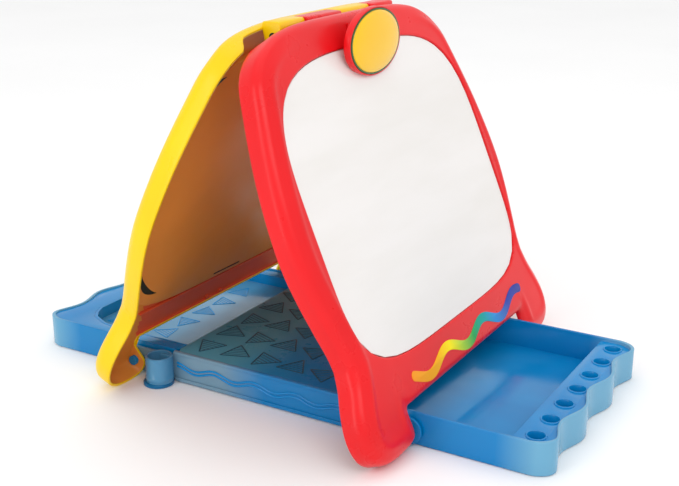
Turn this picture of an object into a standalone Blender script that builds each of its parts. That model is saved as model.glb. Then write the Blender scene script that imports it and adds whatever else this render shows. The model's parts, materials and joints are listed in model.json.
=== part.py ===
"""A folding tabletop easel: two hollow shells hinged at the top, a sleeve (the dock) between their feet,
two trays that slide in the dock, and a sprung paper clip at the top of each board.

The red front panel faces -Y, the yellow rear panel faces +Y, and X runs across. The origin is on the floor
under the top hinge. A panel is designed in its own frame: X across, -Y straight out of its face, +Z up
along its slope, with the hinge axis at the origin. place_on_panel() leans it. The rear panel is a slightly
narrower version of the front one, turned half a turn about Z.
"""
import math
from collections import namedtuple

import bmesh
import bpy
from mathutils import Matrix, Vector

MM = 0.001
GAP = 0.3                   # between touching pieces, mm; every length below is in mm

# The triangle that the panels make
HINGE_HEIGHT = 283.0
FOOT_REACH = 120.0          # from the middle to each panel's inner rim at the floor
PANEL_LENGTH = math.hypot(HINGE_HEIGHT, FOOT_REACH)
LEAN = math.atan2(FOOT_REACH, HINGE_HEIGHT)

# Panel shells
FACE = 20.5                 # the flat front face's height over the inner rim plane
SIDE_ROUND = 11.0           # the bullnose radius along the sides, the top edge and the arch
TOP_ROUND = 8.0
ARCH_ROUND = 5.0
WALL = 2.4
PAN = 16.7                  # the pan that holds the board
ARCH_RIM = 15.0             # the rim's height along the arch, clear of the dock
TOP_RIM = 10.0              # the rim's height along the top edge, clear of the hinge
TOP_EDGE = 312.0
ARCH_HEIGHT = 27.5
LEG_INSIDE = 106.2

# How much wider a panel is than the base outline below, at its sides and at its feet
Panel = namedtuple("Panel", "name rear sides_wider feet_wider")
FRONT = Panel("front", False, 3.0, 1.5)
REAR = Panel("rear", True, -3.0, -8.0)

# The board's window: half width, its widest level, and how far it reaches above and below that level
WINDOW_HALF = 144.5
WINDOW_LEVEL = 166.0
WINDOW_UP = 119.0
WINDOW_DOWN = 106.5
WINDOW_POWER_UP = 3.7
WINDOW_POWER_DOWN = 4.8
BOARD_THICK = 2.2

# The printed wave on the front panel's lower band
WAVE_START = -92.0
WAVE_STOP = 117.0
WAVE_MIDDLE = 40.6
WAVE_RISE = 4.8
WAVE_PERIOD = 66.5
WAVE_CREST = 34.0
WAVE_LIFT_FROM = 75.0       # past here the wave climbs away from its middle line
WAVE_HALF_WIDTH = 3.9
LABEL_THICK = 0.25

# Top hinge
KNUCKLE_RADIUS = 8.0
KNUCKLE_ENDS = [(-48.5, 0.0), (48.5, 83.0)]
ROD_RADIUS = 2.4
ROD_HALF = 80.0

# Dock
DOCK_HALF_X = 104.8
DOCK_HALF_Y = 87.0
DOCK_WALL = 2.6
DOCK_BOTTOM = 1.2
DOCK_TOP = 27.0
DOCK_FLOOR = 2.0
DECK_THICK = 2.2
PIVOT_Y = 125.8
PIVOT_Z = 12.0
PIN_RADIUS = 4.0
EAR_RADIUS = 10.6
POST_RADIUS = 10.0
POST_X = 113.0
POST_Y = 95.5
POST_TOP = 25.0
FOOT_X = 88.0
FOOT_Y = 76.0

# Trays
TRAY_HALF = 101.0
TRAY_START = 5.0
TRAY_END = 230.0
TRAY_BOTTOM = 3.6           # the tail's underside, inside the dock
TRAY_UNDER = 0.6            # the underside past the shoulder
TRAY_TAIL_TOP = 22.8
TRAY_TOP = 26.6
TRAY_SHOULDER = 88.0
TRAY_WALL = 2.4
LOBE_DEPTH = 3.5
LOBE_PITCH = 62.0
CORNER_RADIUS = 16.0
WELL_END = 202.0
LEDGE_TOP = 23.6
SOCKET_RADIUS = 6.2
SOCKET_PITCH = 28.5
SOCKET_Y = 216.0
SOCKET_WALL = 1.6

# Paper clips, at the middle of each panel's top band. A clip's cap is an oval that stands upright while the
# panel leans. The badge's place is the middle of its back: up the panel, and out from the inner rim plane.
Clip = namedtuple("Clip", "panel badge_level badge_height cap_radius badge_rise")
FRONT_CLIP = Clip(FRONT, 283.0, 31.2, 26.0, 5.0)
REAR_CLIP = Clip(REAR, 280.4, 27.8, 17.0, 2.0)
CAP_STRETCH = 1.54          # the oval's width over its height
CAP_LIP = 0.9               # these four are measured out from the badge's back
CAP_SEAT = -0.3
CAP_CEILING = -2.0
CAP_BACK = -4.6
CAP_EDGE = 1.1
CAP_WALL = 2.0
JAW_CLEARANCE = 0.5         # between the cap's bottom and the board
PIN_LEVEL = 292.0
PIN_HEIGHT = 25.8
PIN_PLACE = (-PIN_HEIGHT, PIN_LEVEL - PANEL_LENGTH)
CLIP_PIN_RADIUS = 1.2
LUG_X = 12.4
LUG_HALF = 1.3
EAR_X = 8.5
SCREW_X = 12.2
SCREW_RISE = 6.5            # the bracket screws' place above the pin
PLATE_THICK = 1.6

RED = (0.80, 0.012, 0.016, 1.0)
YELLOW = (1.0, 0.62, 0.0, 1.0)
BLUE = (0.0, 0.30, 0.66, 1.0)
WHITE = (0.92, 0.90, 0.87, 1.0)
CHALK = (0.05, 0.06, 0.06, 1.0)
STEEL = (0.56, 0.56, 0.58, 1.0)
INK = (0.10, 0.45, 0.75, 1.0)


# ---------------------------------------------------------------- scene and mesh helpers

def clear_scene():
    for obj in list(bpy.data.objects):
        bpy.data.objects.remove(obj)


def collection(name):
    made = bpy.data.collections.new(name)
    bpy.context.scene.collection.children.link(made)
    return made


def material(name, color, roughness, metallic=0.0):
    made = bpy.data.materials.get(name) or bpy.data.materials.new(name)
    made.use_nodes = True
    shader = made.node_tree.nodes["Principled BSDF"]
    shader.inputs["Base Color"].default_value = color
    shader.inputs["Roughness"].default_value = roughness
    shader.inputs["Metallic"].default_value = metallic
    return made


def new_object(name, mesh, group, finish=None):
    obj = bpy.data.objects.new(name, mesh)
    group.objects.link(obj)
    if finish:
        obj.data.materials.append(finish)
    return obj


def mesh_from(bm, name):
    bmesh.ops.recalc_face_normals(bm, faces=bm.faces)
    mesh = bpy.data.meshes.new(name)
    bm.to_mesh(mesh)
    bm.free()
    return mesh


def box_mesh(low, high):
    """A box between two corners, in mm."""
    bm = bmesh.new()
    bmesh.ops.create_cube(bm, size=1.0)
    size = [(h - l) * MM for l, h in zip(low, high)]
    middle = [(h + l) / 2 * MM for l, h in zip(low, high)]
    bmesh.ops.scale(bm, vec=size, verts=bm.verts)
    bmesh.ops.translate(bm, vec=middle, verts=bm.verts)
    return mesh_from(bm, "box")


def rod_mesh(radius, start, end, axis="X", at=(0.0, 0.0), sides=24):
    """A cylinder along an axis from start to end; at gives its place on the other two axes, in mm."""
    bm = bmesh.new()
    bmesh.ops.create_cone(bm, cap_ends=True, segments=sides, radius1=radius * MM, radius2=radius * MM,
                          depth=(end - start) * MM)
    turn = {"X": Matrix.Rotation(math.pi / 2, 3, "Y"), "Y": Matrix.Rotation(math.pi / 2, 3, "X"),
            "Z": Matrix.Identity(3)}[axis]
    bmesh.ops.rotate(bm, verts=bm.verts, cent=(0, 0, 0), matrix=turn)
    middle = (start + end) / 2
    place = {"X": (middle, *at), "Y": (at[0], middle, at[1]), "Z": (*at, middle)}[axis]
    bmesh.ops.translate(bm, vec=Vector(place) * MM, verts=bm.verts)
    return mesh_from(bm, "rod")


def prism_mesh(outline, low, high, axis="Z"):
    """A flat outline in mm, given a thickness along an axis. The outline's two numbers are the other axes."""
    bm = bmesh.new()
    to_3d = {"X": lambda p, h: (h, p[0], p[1]), "Y": lambda p, h: (p[0], h, p[1]),
             "Z": lambda p, h: (p[0], p[1], h)}[axis]
    rings = [[bm.verts.new(Vector(to_3d(p, h)) * MM) for p in outline] for h in (low, high)]
    bm.faces.new(rings[0])
    bm.faces.new(rings[1])
    for i in range(len(outline)):
        j = (i + 1) % len(outline)
        bm.faces.new([rings[0][i], rings[0][j], rings[1][j], rings[1][i]])
    return mesh_from(bm, "prism")


def loft_mesh(rings):
    """A closed body through rings of 3-D points in mm; the first and the last ring are closed flat."""
    bm = bmesh.new()
    rows = [[bm.verts.new(Vector(p) * MM) for p in ring] for ring in rings]
    for row, after in zip(rows, rows[1:]):
        for i in range(len(row)):
            j = (i + 1) % len(row)
            bm.faces.new([row[i], row[j], after[j], after[i]])
    bm.faces.new(rows[0])
    bm.faces.new(rows[-1])
    return mesh_from(bm, "loft")


def turned_mesh(profile, sides=40):
    """A turned body: (radius, height) points in mm from the axis out and back, around Z."""
    bm = bmesh.new()
    points = [bm.verts.new((r * MM, 0, h * MM)) for r, h in profile]
    edges = [bm.edges.new(pair) for pair in zip(points, points[1:])]
    bmesh.ops.spin(bm, geom=points + edges, cent=(0, 0, 0), axis=(0, 0, 1), angle=2 * math.pi, steps=sides,
                   use_merge=True, use_duplicate=False)
    bmesh.ops.remove_doubles(bm, verts=bm.verts, dist=1e-6)
    return mesh_from(bm, "turned")


def combine(target, pieces, how, cutters):
    """Joins meshes to an object, or cuts them out of it, one at a time."""
    for number, mesh in enumerate(pieces):
        tool = new_object(f"{target.name}_tool_{how.lower()}_{number}", mesh, cutters)
        tool.matrix_world = target.matrix_world
        tool.hide_render = True
        tool.display_type = "WIRE"
        step = target.modifiers.new(how.title(), "BOOLEAN")
        step.operation = how
        step.solver = "EXACT"
        step.object = tool


# ---------------------------------------------------------------- outlines

def smooth_step(value, low, high):
    t = min(1.0, max(0.0, (value - low) / (high - low)))
    return t * t * (3 - 2 * t)


def spline_through(points, steps=12):
    """A smooth open curve through 2-D points (Catmull-Rom)."""
    ends = [points[0]] + list(points) + [points[-1]]
    made = []
    for a, b, c, d in zip(ends, ends[1:], ends[2:], ends[3:]):
        for k in range(steps):
            t = k / steps
            made.append(tuple(0.5 * (2 * q + (r - p) * t + (2 * p - 5 * q + 4 * r - s) * t * t
                                     + (3 * q - p - 3 * r + s) * t ** 3) for p, q, r, s in zip(a, b, c, d)))
    made.append(tuple(points[-1]))
    return made


def evenly(points, count):
    """count points at equal steps along a polyline, both ends included."""
    lengths = [0.0]
    for a, b in zip(points, points[1:]):
        lengths.append(lengths[-1] + math.dist(a, b))
    made, at = [], 0
    for k in range(count):
        want = lengths[-1] * k / (count - 1)
        while at < len(points) - 2 and lengths[at + 1] < want:
            at += 1
        share = (want - lengths[at]) / max(1e-9, lengths[at + 1] - lengths[at])
        made.append(tuple(p + (q - p) * share for p, q in zip(points[at], points[at + 1])))
    return made


def mirrored(half):
    """A closed outline from its right half, which runs from the bottom middle to the top middle."""
    return half + [(-x, v) for x, v in reversed(half[1:-1])]


# The shell's right half outline, in four stretches that each face one stretch of the window's edge
ARCH = [(0, ARCH_HEIGHT), (50, ARCH_HEIGHT), (101, ARCH_HEIGHT)]
LEG = [(101, ARCH_HEIGHT), (104.9, 27.2), (LEG_INSIDE, 24), (LEG_INSIDE, 9), (109, 2.6), (117, 0), (138, 0),
       (150, 3), (159, 10), (163.5, 21), (163.5, 33), (159.5, 47), (153, 61), (149, 74)]
SIDE = [(149, 74), (150, 86), (155, 105), (160.5, 128), (163.8, 150), (164, 170), (161.5, 195), (157.5, 218),
        (152, 240), (146, 260)]
CROWN = [(146, 260), (139, 279.5), (126, 294.8), (107, 304.8), (85, 309.6), (60, 311.6), (30, TOP_EDGE),
         (0, TOP_EDGE)]
STRETCHES = [(ARCH, 10, 0, 63), (LEG, 17, 63, 84), (SIDE, 12, 84, 139), (CROWN, 12, 139, 180)]


def widened(point, panel):
    x, v = point
    wider = panel.feet_wider + (panel.sides_wider - panel.feet_wider) * smooth_step(v, 45, 90)
    return x + wider * smooth_step(x, 112, 140), v


def shell_half(panel):
    half = []
    for points, count, _, _ in STRETCHES:
        half += evenly(spline_through([widened(p, panel) for p in points]), count)[:-1]
    return half + [(0.0, TOP_EDGE)]


def window_point(angle):
    """A point of the window's edge; the angle runs from 0 at the bottom middle to 180 at the top."""
    a = math.radians(angle)
    power = WINDOW_POWER_DOWN if angle < 90 else WINDOW_POWER_UP
    reach = WINDOW_DOWN if angle < 90 else WINDOW_UP
    x = WINDOW_HALF * abs(math.sin(a)) ** (2 / power)
    return x, WINDOW_LEVEL - math.copysign(reach * abs(math.cos(a)) ** (2 / power), math.cos(a))


def window_half():
    fine = [window_point(180 * k / 720) for k in range(721)]
    half = []
    for _, count, low, high in STRETCHES:
        part = fine[round(low * 4):round(high * 4) + 1]
        half += evenly(part, count)[:-1]
    return half + [fine[-1]]


def moved_in(outline, distance):
    """The outline moved in by a distance (out where it is negative), for an anticlockwise outline."""
    made = []
    for i, p in enumerate(outline):
        before, after = outline[i - 1], outline[(i + 1) % len(outline)]
        dx, dv = after[0] - before[0], after[1] - before[1]
        length = math.hypot(dx, dv)
        made.append((p[0] - dv / length * distance, p[1] + dx / length * distance))
    return made


def distance_to(outline, point):
    best = 1e9
    for a, b in zip(outline, outline[1:] + outline[:1]):
        ax, av = b[0] - a[0], b[1] - a[1]
        t = max(0.0, min(1.0, ((point[0] - a[0]) * ax + (point[1] - a[1]) * av) / (ax * ax + av * av)))
        best = min(best, math.hypot(point[0] - a[0] - t * ax, point[1] - a[1] - t * av))
    return best


# ---------------------------------------------------------------- panels

def edge_round(x, v):
    """The bullnose radius of the outline next to a point."""
    top = smooth_step(v, 285, 303)
    arch = (1 - smooth_step(v, 50, 62)) * (1 - smooth_step(abs(x), 102, 114))
    return SIDE_ROUND + (TOP_ROUND - SIDE_ROUND) * top + (ARCH_ROUND - SIDE_ROUND) * arch


def face_height(x, v, inset):
    """The front face's height over the rim plane at a distance in from the outer edge."""
    radius = edge_round(x, v)
    past = max(0.0, radius - inset)
    return FACE - radius + math.sqrt(radius ** 2 - past ** 2)


def rim_height(x, v):
    """The rim lies in the plane at 0, but stands back from it along the arch and the top edge."""
    arch = ARCH_RIM * (1 - smooth_step(abs(x), LEG_INSIDE + 0.5, LEG_INSIDE + 3)) * smooth_step(v, 11, 22)
    top = TOP_RIM * smooth_step(v, 301, 306)
    return max(arch * (1 - smooth_step(v, 30, 40)), top)


def on_panel(point, height):
    """A panel point (x, up the slope from the foot) at a height over the rim plane, in the panel's frame."""
    return point[0], -height, point[1] - PANEL_LENGTH


def shell_mesh(panel):
    outer = mirrored(shell_half(panel))
    window = mirrored(window_half())
    inner, back_edge = moved_in(outer, WALL), moved_in(window, -WALL)
    rings = [[on_panel(p, PAN) for p in window]]
    for share in (1.0, 0.75, 0.5, 0.3, 0.16, 0.07, 0.0):
        row = [tuple(a + (b - a) * share for a, b in zip(p, q)) for p, q in zip(outer, window)]
        rings.append([on_panel(p, face_height(*p, distance_to(outer, p))) for p in row])
    for edge in (outer, inner):
        rings.append([on_panel(p, rim_height(*q)) for p, q in zip(edge, outer)])
    for share in (0.0, 0.2, 0.55, 1.0):
        row = [tuple(a + (b - a) * share for a, b in zip(p, q)) for p, q in zip(inner, back_edge)]
        rings.append([on_panel(p, face_height(*p, distance_to(outer, p)) - WALL) for p in row])
    rings.append([on_panel(p, PAN - WALL) for p in back_edge])
    return loft_mesh(rings)


def knuckle_meshes():
    """Each knuckle is a barrel on the hinge axis with a web that runs into the top band."""
    made = []
    for start, end in KNUCKLE_ENDS:
        low, high = start + GAP, end - GAP
        made.append(rod_mesh(KNUCKLE_RADIUS, low, high))
        made.append(prism_mesh([(0, -4.5), (0, 4.2), (-11.5, 4.2), (-18, 1.5), (-18, -4.5)], low, high, "X"))
    return made


def place_on_panel(obj, rear):
    obj.location = (0, 0, HINGE_HEIGHT * MM)
    obj.rotation_euler = (-LEAN, 0, math.pi if rear else 0)
    bpy.context.view_layer.update()


def foot_bore_place():
    """The pivot's place in a panel's frame: (out of the face, up from the hinge), in mm."""
    reach, drop = PIVOT_Y, HINGE_HEIGHT - PIVOT_Z
    out = reach * math.cos(LEAN) - drop * math.sin(LEAN)
    down = reach * math.sin(LEAN) + drop * math.cos(LEAN)
    return -out, -down


def build_shell(panel, finish, group, cutters):
    shell = new_object(f"{panel.name}_shell", shell_mesh(panel), group, finish)
    place_on_panel(shell, panel.rear)
    combine(shell, knuckle_meshes(), "UNION", cutters)
    bores = [rod_mesh(ROD_RADIUS + GAP, -90, 90)]
    for side in (-1, 1):
        ends = sorted((side * (LEG_INSIDE - 2), side * (LEG_INSIDE + 7)))
        bores.append(rod_mesh(PIN_RADIUS + GAP, *ends, at=foot_bore_place(), sides=20))
    combine(shell, bores, "DIFFERENCE", cutters)


def build_board(name, panel, finish, group):
    outline = moved_in(mirrored(window_half()), 0.5)
    back = PAN + GAP
    sheet = prism_mesh([(x, v - PANEL_LENGTH) for x, v in outline], -back - BOARD_THICK, -back, "Y")
    board = new_object(name, sheet, group, finish)
    place_on_panel(board, panel.rear)


def wave_height(x):
    """The printed wave's middle line, up the panel from the foot."""
    lift = max(0.0, x - WAVE_LIFT_FROM) / (WAVE_STOP - WAVE_LIFT_FROM)
    turn = 2 * math.pi * (x - WAVE_CREST) / WAVE_PERIOD
    return WAVE_MIDDLE + WAVE_RISE * (math.cos(turn) + lift ** 2)


def build_squiggle(group, finish):
    """The printed wave on the lower band, as a thin label."""
    steps = 96
    middle = [WAVE_START + (WAVE_STOP - WAVE_START) * k / steps for k in range(steps + 1)]
    upper, lower = [], []
    for x in middle:
        slope = wave_height(x + 0.5) - wave_height(x - 0.5)
        length = math.hypot(1.0, slope)
        across, along = WAVE_HALF_WIDTH / length, WAVE_HALF_WIDTH * slope / length
        upper.append((x - along, wave_height(x) + across - PANEL_LENGTH))
        lower.append((x + along, wave_height(x) - across - PANEL_LENGTH))
    mesh = prism_mesh(lower + upper[::-1], -FACE - GAP - LABEL_THICK, -FACE - GAP, "Y")
    label = new_object("squiggle_label", mesh, group, finish)
    place_on_panel(label, False)


# ---------------------------------------------------------------- paper clip

def facing_out(mesh, clip):
    """Turns a mesh made round Z upright at the badge's place, facing out, and stretches it sideways."""
    place = Matrix.Translation(Vector((0, -clip.badge_height, clip.badge_level - PANEL_LENGTH)) * MM)
    upright = Matrix.Rotation(math.pi / 2 + LEAN, 4, "X")
    mesh.transform(place @ upright @ Matrix.Diagonal((CAP_STRETCH, 1, 1, 1)))
    return mesh


def clip_bore():
    return rod_mesh(CLIP_PIN_RADIUS + GAP, -20, 20, at=PIN_PLACE, sides=16)


def build_bracket(clip, finish, group, cutters):
    """The clip's fixed half: a plate screwed to the top band, with two ears that carry the pin."""
    pin_y, pin_z = PIN_PLACE
    back = -FACE - GAP
    front = back - PLATE_THICK
    plate = box_mesh((-15, front, pin_z - 7), (15, back, pin_z + 10))
    bracket = new_object(f"{clip.panel.name}_clip_bracket", plate, group, finish)
    place_on_panel(bracket, clip.panel.rear)
    tip = pin_y - 2.4
    ear = [(front + 0.8, pin_z - 6), (tip, pin_z - 2.4), (tip, pin_z + 2.4), (front + 0.8, pin_z + 6)]
    combine(bracket, [prism_mesh(ear, x - 1.2, x + 1.2, "X") for x in (-EAR_X, EAR_X)], "UNION", cutters)
    screws_z = pin_z + SCREW_RISE
    bores = [rod_mesh(1.5, front - 1, back + 1, "Y", (x, screws_z), 16) for x in (-SCREW_X, SCREW_X)]
    combine(bracket, bores + [clip_bore()], "DIFFERENCE", cutters)


def build_lever(clip, finish, group, cutters):
    """The clip's moving half: an oval cap that holds the badge, on two lugs. Its bottom is the jaw."""
    pin_y, pin_z = PIN_PLACE
    radius, seat = clip.cap_radius, clip.cap_radius - CAP_EDGE
    inner = radius - CAP_WALL
    profile = [(0, CAP_SEAT), (seat, CAP_SEAT), (seat, CAP_LIP), (radius - 0.5, CAP_LIP),
               (radius, CAP_LIP - 0.5), (radius, CAP_BACK), (inner, CAP_BACK), (inner, CAP_CEILING),
               (0, CAP_CEILING)]
    lever = new_object(f"{clip.panel.name}_clip_lever", facing_out(turned_mesh(profile), clip), group, finish)
    place_on_panel(lever, clip.panel.rear)
    board_front = PAN + GAP + BOARD_THICK
    under = box_mesh((-60, -board_front - JAW_CLEARANCE, -60), (60, 20, 20))
    combine(lever, [under], "DIFFERENCE", cutters)
    lug = [(pin_y + 2.4, pin_z - 2.8), (pin_y + 2.4, pin_z + 2.8)]
    for rise in (2.8, -2.8):
        up = PIN_LEVEL + rise - clip.badge_level
        inside_wall = clip.badge_height + (CAP_SEAT + CAP_CEILING) / 2 / math.cos(LEAN) + up * math.tan(LEAN)
        lug.append((-inside_wall, pin_z + rise))
    lugs = [prism_mesh(lug, x - LUG_HALF, x + LUG_HALF, "X") for x in (-LUG_X, LUG_X)]
    combine(lever, lugs, "UNION", cutters)
    combine(lever, [clip_bore()], "DIFFERENCE", cutters)


def build_badge(clip, finish, group):
    """The domed badge that sits in the cap."""
    radius = clip.cap_radius - CAP_EDGE - GAP
    base = CAP_LIP + 0.1
    profile = [(0, base + clip.badge_rise)]
    for k in range(1, 9):
        a = math.radians(90 * k / 8)
        profile.append((radius * math.sin(a), base + clip.badge_rise * math.cos(a)))
    profile += [(radius, CAP_SEAT + GAP), (0, CAP_SEAT + GAP)]
    badge = new_object(f"{clip.panel.name}_clip_badge", facing_out(turned_mesh(profile), clip), group, finish)
    place_on_panel(badge, clip.panel.rear)


def build_spring(clip, finish, group):
    """A torsion spring round the clip pin, between the bracket's ears."""
    pin_y, pin_z = PIN_PLACE
    turns, per_turn, radius, wire = 6, 10, 2.3, 0.45
    curve = bpy.data.curves.new("spring", "CURVE")
    curve.dimensions = "3D"
    curve.bevel_depth = wire * MM
    curve.bevel_resolution = 1
    curve.use_fill_caps = True
    line = curve.splines.new("POLY")
    count = turns * per_turn + 1
    line.points.add(count - 1)
    for k in range(count):
        angle = 2 * math.pi * k / per_turn
        x = -4.2 + 8.4 * k / (count - 1)
        line.points[k].co = (x * MM, (pin_y + radius * math.cos(angle)) * MM,
                             (pin_z + radius * math.sin(angle)) * MM, 1)
    curve.materials.append(finish)
    place_on_panel(new_object(f"{clip.panel.name}_clip_spring", curve, group), clip.panel.rear)


def build_clip_screws(clip, finish, group):
    """Two pan-head screws that hold the clip's bracket on the top band."""
    under_head = FACE + GAP + PLATE_THICK + GAP
    profile = [(0, FACE + 4.0), (1.6, FACE + 3.7), (2.4, FACE + 2.9), (2.4, under_head), (1.1, under_head),
               (1.1, FACE + GAP), (0, FACE + GAP)]
    level = (PIN_LEVEL - PANEL_LENGTH + SCREW_RISE) * MM
    for number, x in enumerate((-SCREW_X, SCREW_X)):
        mesh = turned_mesh(profile, 16)
        mesh.transform(Matrix.Translation((x * MM, 0, level)) @ Matrix.Rotation(math.pi / 2, 4, "X"))
        screw = new_object(f"{clip.panel.name}_clip_screw_{number + 1}", mesh, group, finish)
        place_on_panel(screw, clip.panel.rear)


def build_clip(clip, shell_finish, badge_finish, steel, group, cutters):
    build_bracket(clip, shell_finish, group, cutters)
    build_lever(clip, shell_finish, group, cutters)
    build_badge(clip, badge_finish, group)
    pin_mesh = rod_mesh(CLIP_PIN_RADIUS, -14.4, 14.4, at=PIN_PLACE, sides=16)
    place_on_panel(new_object(f"{clip.panel.name}_clip_pin", pin_mesh, group, steel), clip.panel.rear)
    build_spring(clip, steel, group)
    build_clip_screws(clip, steel, group)


# ---------------------------------------------------------------- dock

def ear_outline():
    """A dock side wall seen from the side: a low ear round each pivot line and a tall middle."""
    outline = []
    for k in range(9):
        a = math.radians(-90 + 180 * k / 8)
        outline.append((PIVOT_Y + EAR_RADIUS * math.cos(a), PIVOT_Z + EAR_RADIUS * math.sin(a)))
    outline += [(DOCK_HALF_Y + 3, PIVOT_Z + EAR_RADIUS), (DOCK_HALF_Y, DOCK_TOP)]
    return outline + [(-y, z) for y, z in reversed(outline)]


def dock_side(side):
    """What the dock's floor carries on one side: its wall, deck ledge, post with a pad, and a foot."""
    inside = DOCK_HALF_X - DOCK_WALL
    joined = [prism_mesh(ear_outline(), *sorted((side * inside, side * DOCK_HALF_X)), "X")]
    ledge = sorted((side * (inside - 2.4), side * (inside + 1)))
    under_deck = DOCK_TOP - DECK_THICK - GAP
    joined.append(box_mesh((ledge[0], -70, under_deck - 1.3), (ledge[1], 70, under_deck)))
    joined.append(rod_mesh(POST_RADIUS, DOCK_BOTTOM, POST_TOP, "Z", (side * POST_X, POST_Y), 24))
    web = sorted((side * (DOCK_HALF_X - 1), side * POST_X))
    joined.append(box_mesh((web[0], POST_Y - 7.5, DOCK_BOTTOM), (web[1], POST_Y + 4, POST_TOP - 2)))
    joined.append(rod_mesh(POST_RADIUS + 1.5, 0, DOCK_BOTTOM + 1, "Z", (side * POST_X, POST_Y - 1), 24))
    foot_top = DOCK_BOTTOM + 0.5
    joined.append(box_mesh((side * FOOT_X - 9, -FOOT_Y - 8, 0), (side * FOOT_X + 9, -FOOT_Y + 8, foot_top)))
    return joined


def build_dock(group, cutters, finish):
    low = (-DOCK_HALF_X, -DOCK_HALF_Y, DOCK_BOTTOM)
    floor = box_mesh(low, (DOCK_HALF_X, DOCK_HALF_Y, DOCK_BOTTOM + DOCK_FLOOR))
    dock = new_object("dock_housing", floor, group, finish)
    bores = []
    for side in (-1, 1):
        combine(dock, dock_side(side), "UNION", cutters)
        through_ear = sorted((side * (DOCK_HALF_X - DOCK_WALL - 1), side * (DOCK_HALF_X + 1)))
        bores.append(rod_mesh(PIN_RADIUS + GAP, *through_ear, at=(PIVOT_Y, PIVOT_Z), sides=20))
        post = (side * POST_X, POST_Y)
        bores.append(rod_mesh(POST_RADIUS - 2.2, DOCK_BOTTOM + 3, POST_TOP + 1, "Z", post, 20))
    combine(dock, bores, "DIFFERENCE", cutters)


def rounded_rectangle(half_x, half_y, radius, steps=4):
    """An anticlockwise rectangle round the origin with round corners."""
    outline = []
    for quarter, (sx, sy) in enumerate(((1, 1), (-1, 1), (-1, -1), (1, -1))):
        for k in range(steps + 1):
            a = math.pi / 2 * (quarter + k / steps)
            outline.append((sx * (half_x - radius) + radius * math.cos(a),
                            sy * (half_y - radius) + radius * math.sin(a)))
    return outline


def build_deck(group, finish):
    outline = rounded_rectangle(DOCK_HALF_X - DOCK_WALL - GAP, DOCK_HALF_Y - 1.0, 5.0)
    new_object("dock_deck", prism_mesh(outline, DOCK_TOP - DECK_THICK, DOCK_TOP), group, finish)


def build_pivot_pins(group, finish):
    inside = DOCK_HALF_X - DOCK_WALL
    for name, side in (("pivot_pin_left", -1), ("pivot_pin_right", 1)):
        ends = sorted((side * inside, side * (LEG_INSIDE + 6)))
        new_object(name, rod_mesh(PIN_RADIUS, *ends, at=(PIVOT_Y, PIVOT_Z), sides=20), group, finish)


# ---------------------------------------------------------------- trays

def tray_end(x):
    """How far a tray's wavy end reaches at x."""
    wave = LOBE_DEPTH * math.cos(2 * math.pi * (x - LOBE_PITCH / 2) / LOBE_PITCH)
    past = max(0.0, abs(x) - (TRAY_HALF - CORNER_RADIUS))
    corner = CORNER_RADIUS - math.sqrt(max(0.0, CORNER_RADIUS ** 2 - past ** 2))
    return TRAY_END + wave - corner


def tray_outline(inset, start, steps=48):
    """The tray seen from above, from its start to its wavy end; y grows outwards."""
    half = TRAY_HALF - inset
    outline = [(half, start)]
    for k in range(steps + 1):
        t = math.sin(math.pi / 2 * (1 - 2 * k / steps))
        outline.append((half * t, tray_end(TRAY_HALF * t) - inset))
    outline.append((-half, start))
    return outline


def turned_out(meshes, outward):
    """Turns meshes half a turn about Z where the tray points to -Y."""
    if outward < 0:
        for mesh in meshes:
            mesh.transform(Matrix.Rotation(math.pi, 4, "Z"))
    return meshes


def tray_body(name, outward, group, cutters, finish):
    """The tray's outside: a tail that fits the dock, a deeper part past the shoulder, and two feet."""
    tall = prism_mesh(tray_outline(0, TRAY_START), TRAY_UNDER, TRAY_TOP)
    tray = new_object(name, turned_out([tall], outward)[0], group, finish)
    wide = TRAY_HALF + 5
    over_tail = box_mesh((-wide, TRAY_START - 5, TRAY_TAIL_TOP), (wide, TRAY_SHOULDER, TRAY_TOP + 5))
    under_tail = box_mesh((-wide, TRAY_START - 5, TRAY_UNDER - 1), (wide, TRAY_SHOULDER, TRAY_BOTTOM))
    combine(tray, turned_out([over_tail, under_tail], outward), "DIFFERENCE", cutters)
    feet = [box_mesh((side * 94.5 - 5, 188, 0), (side * 94.5 + 5, 198, TRAY_UNDER + 1)) for side in (-1, 1)]
    combine(tray, turned_out(feet, outward), "UNION", cutters)
    return tray


def build_front_tray(group, cutters, finish):
    tray = tray_body("front_tray", -1, group, cutters, finish)
    inside = TRAY_HALF - TRAY_WALL
    tail_floor, floor = TRAY_BOTTOM + TRAY_WALL, TRAY_UNDER + TRAY_WALL
    in_tail = inside - 0.4
    tail_start, tail_end = TRAY_START + TRAY_WALL, TRAY_SHOULDER + 4
    tail_well = box_mesh((-in_tail, tail_start, tail_floor), (in_tail, tail_end, TRAY_TOP + 1))
    well = box_mesh((-inside, TRAY_SHOULDER + TRAY_WALL, floor), (inside, WELL_END, TRAY_TOP + 2))
    ledge = prism_mesh(tray_outline(TRAY_WALL + 0.4, WELL_END - 4), LEDGE_TOP, TRAY_TOP + 3)
    under = prism_mesh(tray_outline(TRAY_WALL, WELL_END + TRAY_WALL), TRAY_UNDER - 1, LEDGE_TOP - TRAY_WALL)
    combine(tray, turned_out([tail_well, well, ledge, under], -1), "DIFFERENCE", cutters)
    places = [k * SOCKET_PITCH for k in range(-3, 4)]
    tube_radius = SOCKET_RADIUS + SOCKET_WALL
    tubes = [rod_mesh(tube_radius, floor, LEDGE_TOP + 0.8, "Z", (x, SOCKET_Y), 20) for x in places]
    combine(tray, turned_out(tubes, -1), "UNION", cutters)
    holes = [rod_mesh(SOCKET_RADIUS, floor + 1.8, LEDGE_TOP + 3, "Z", (x, SOCKET_Y), 20) for x in places]
    combine(tray, turned_out(holes, -1), "DIFFERENCE", cutters)


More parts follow.
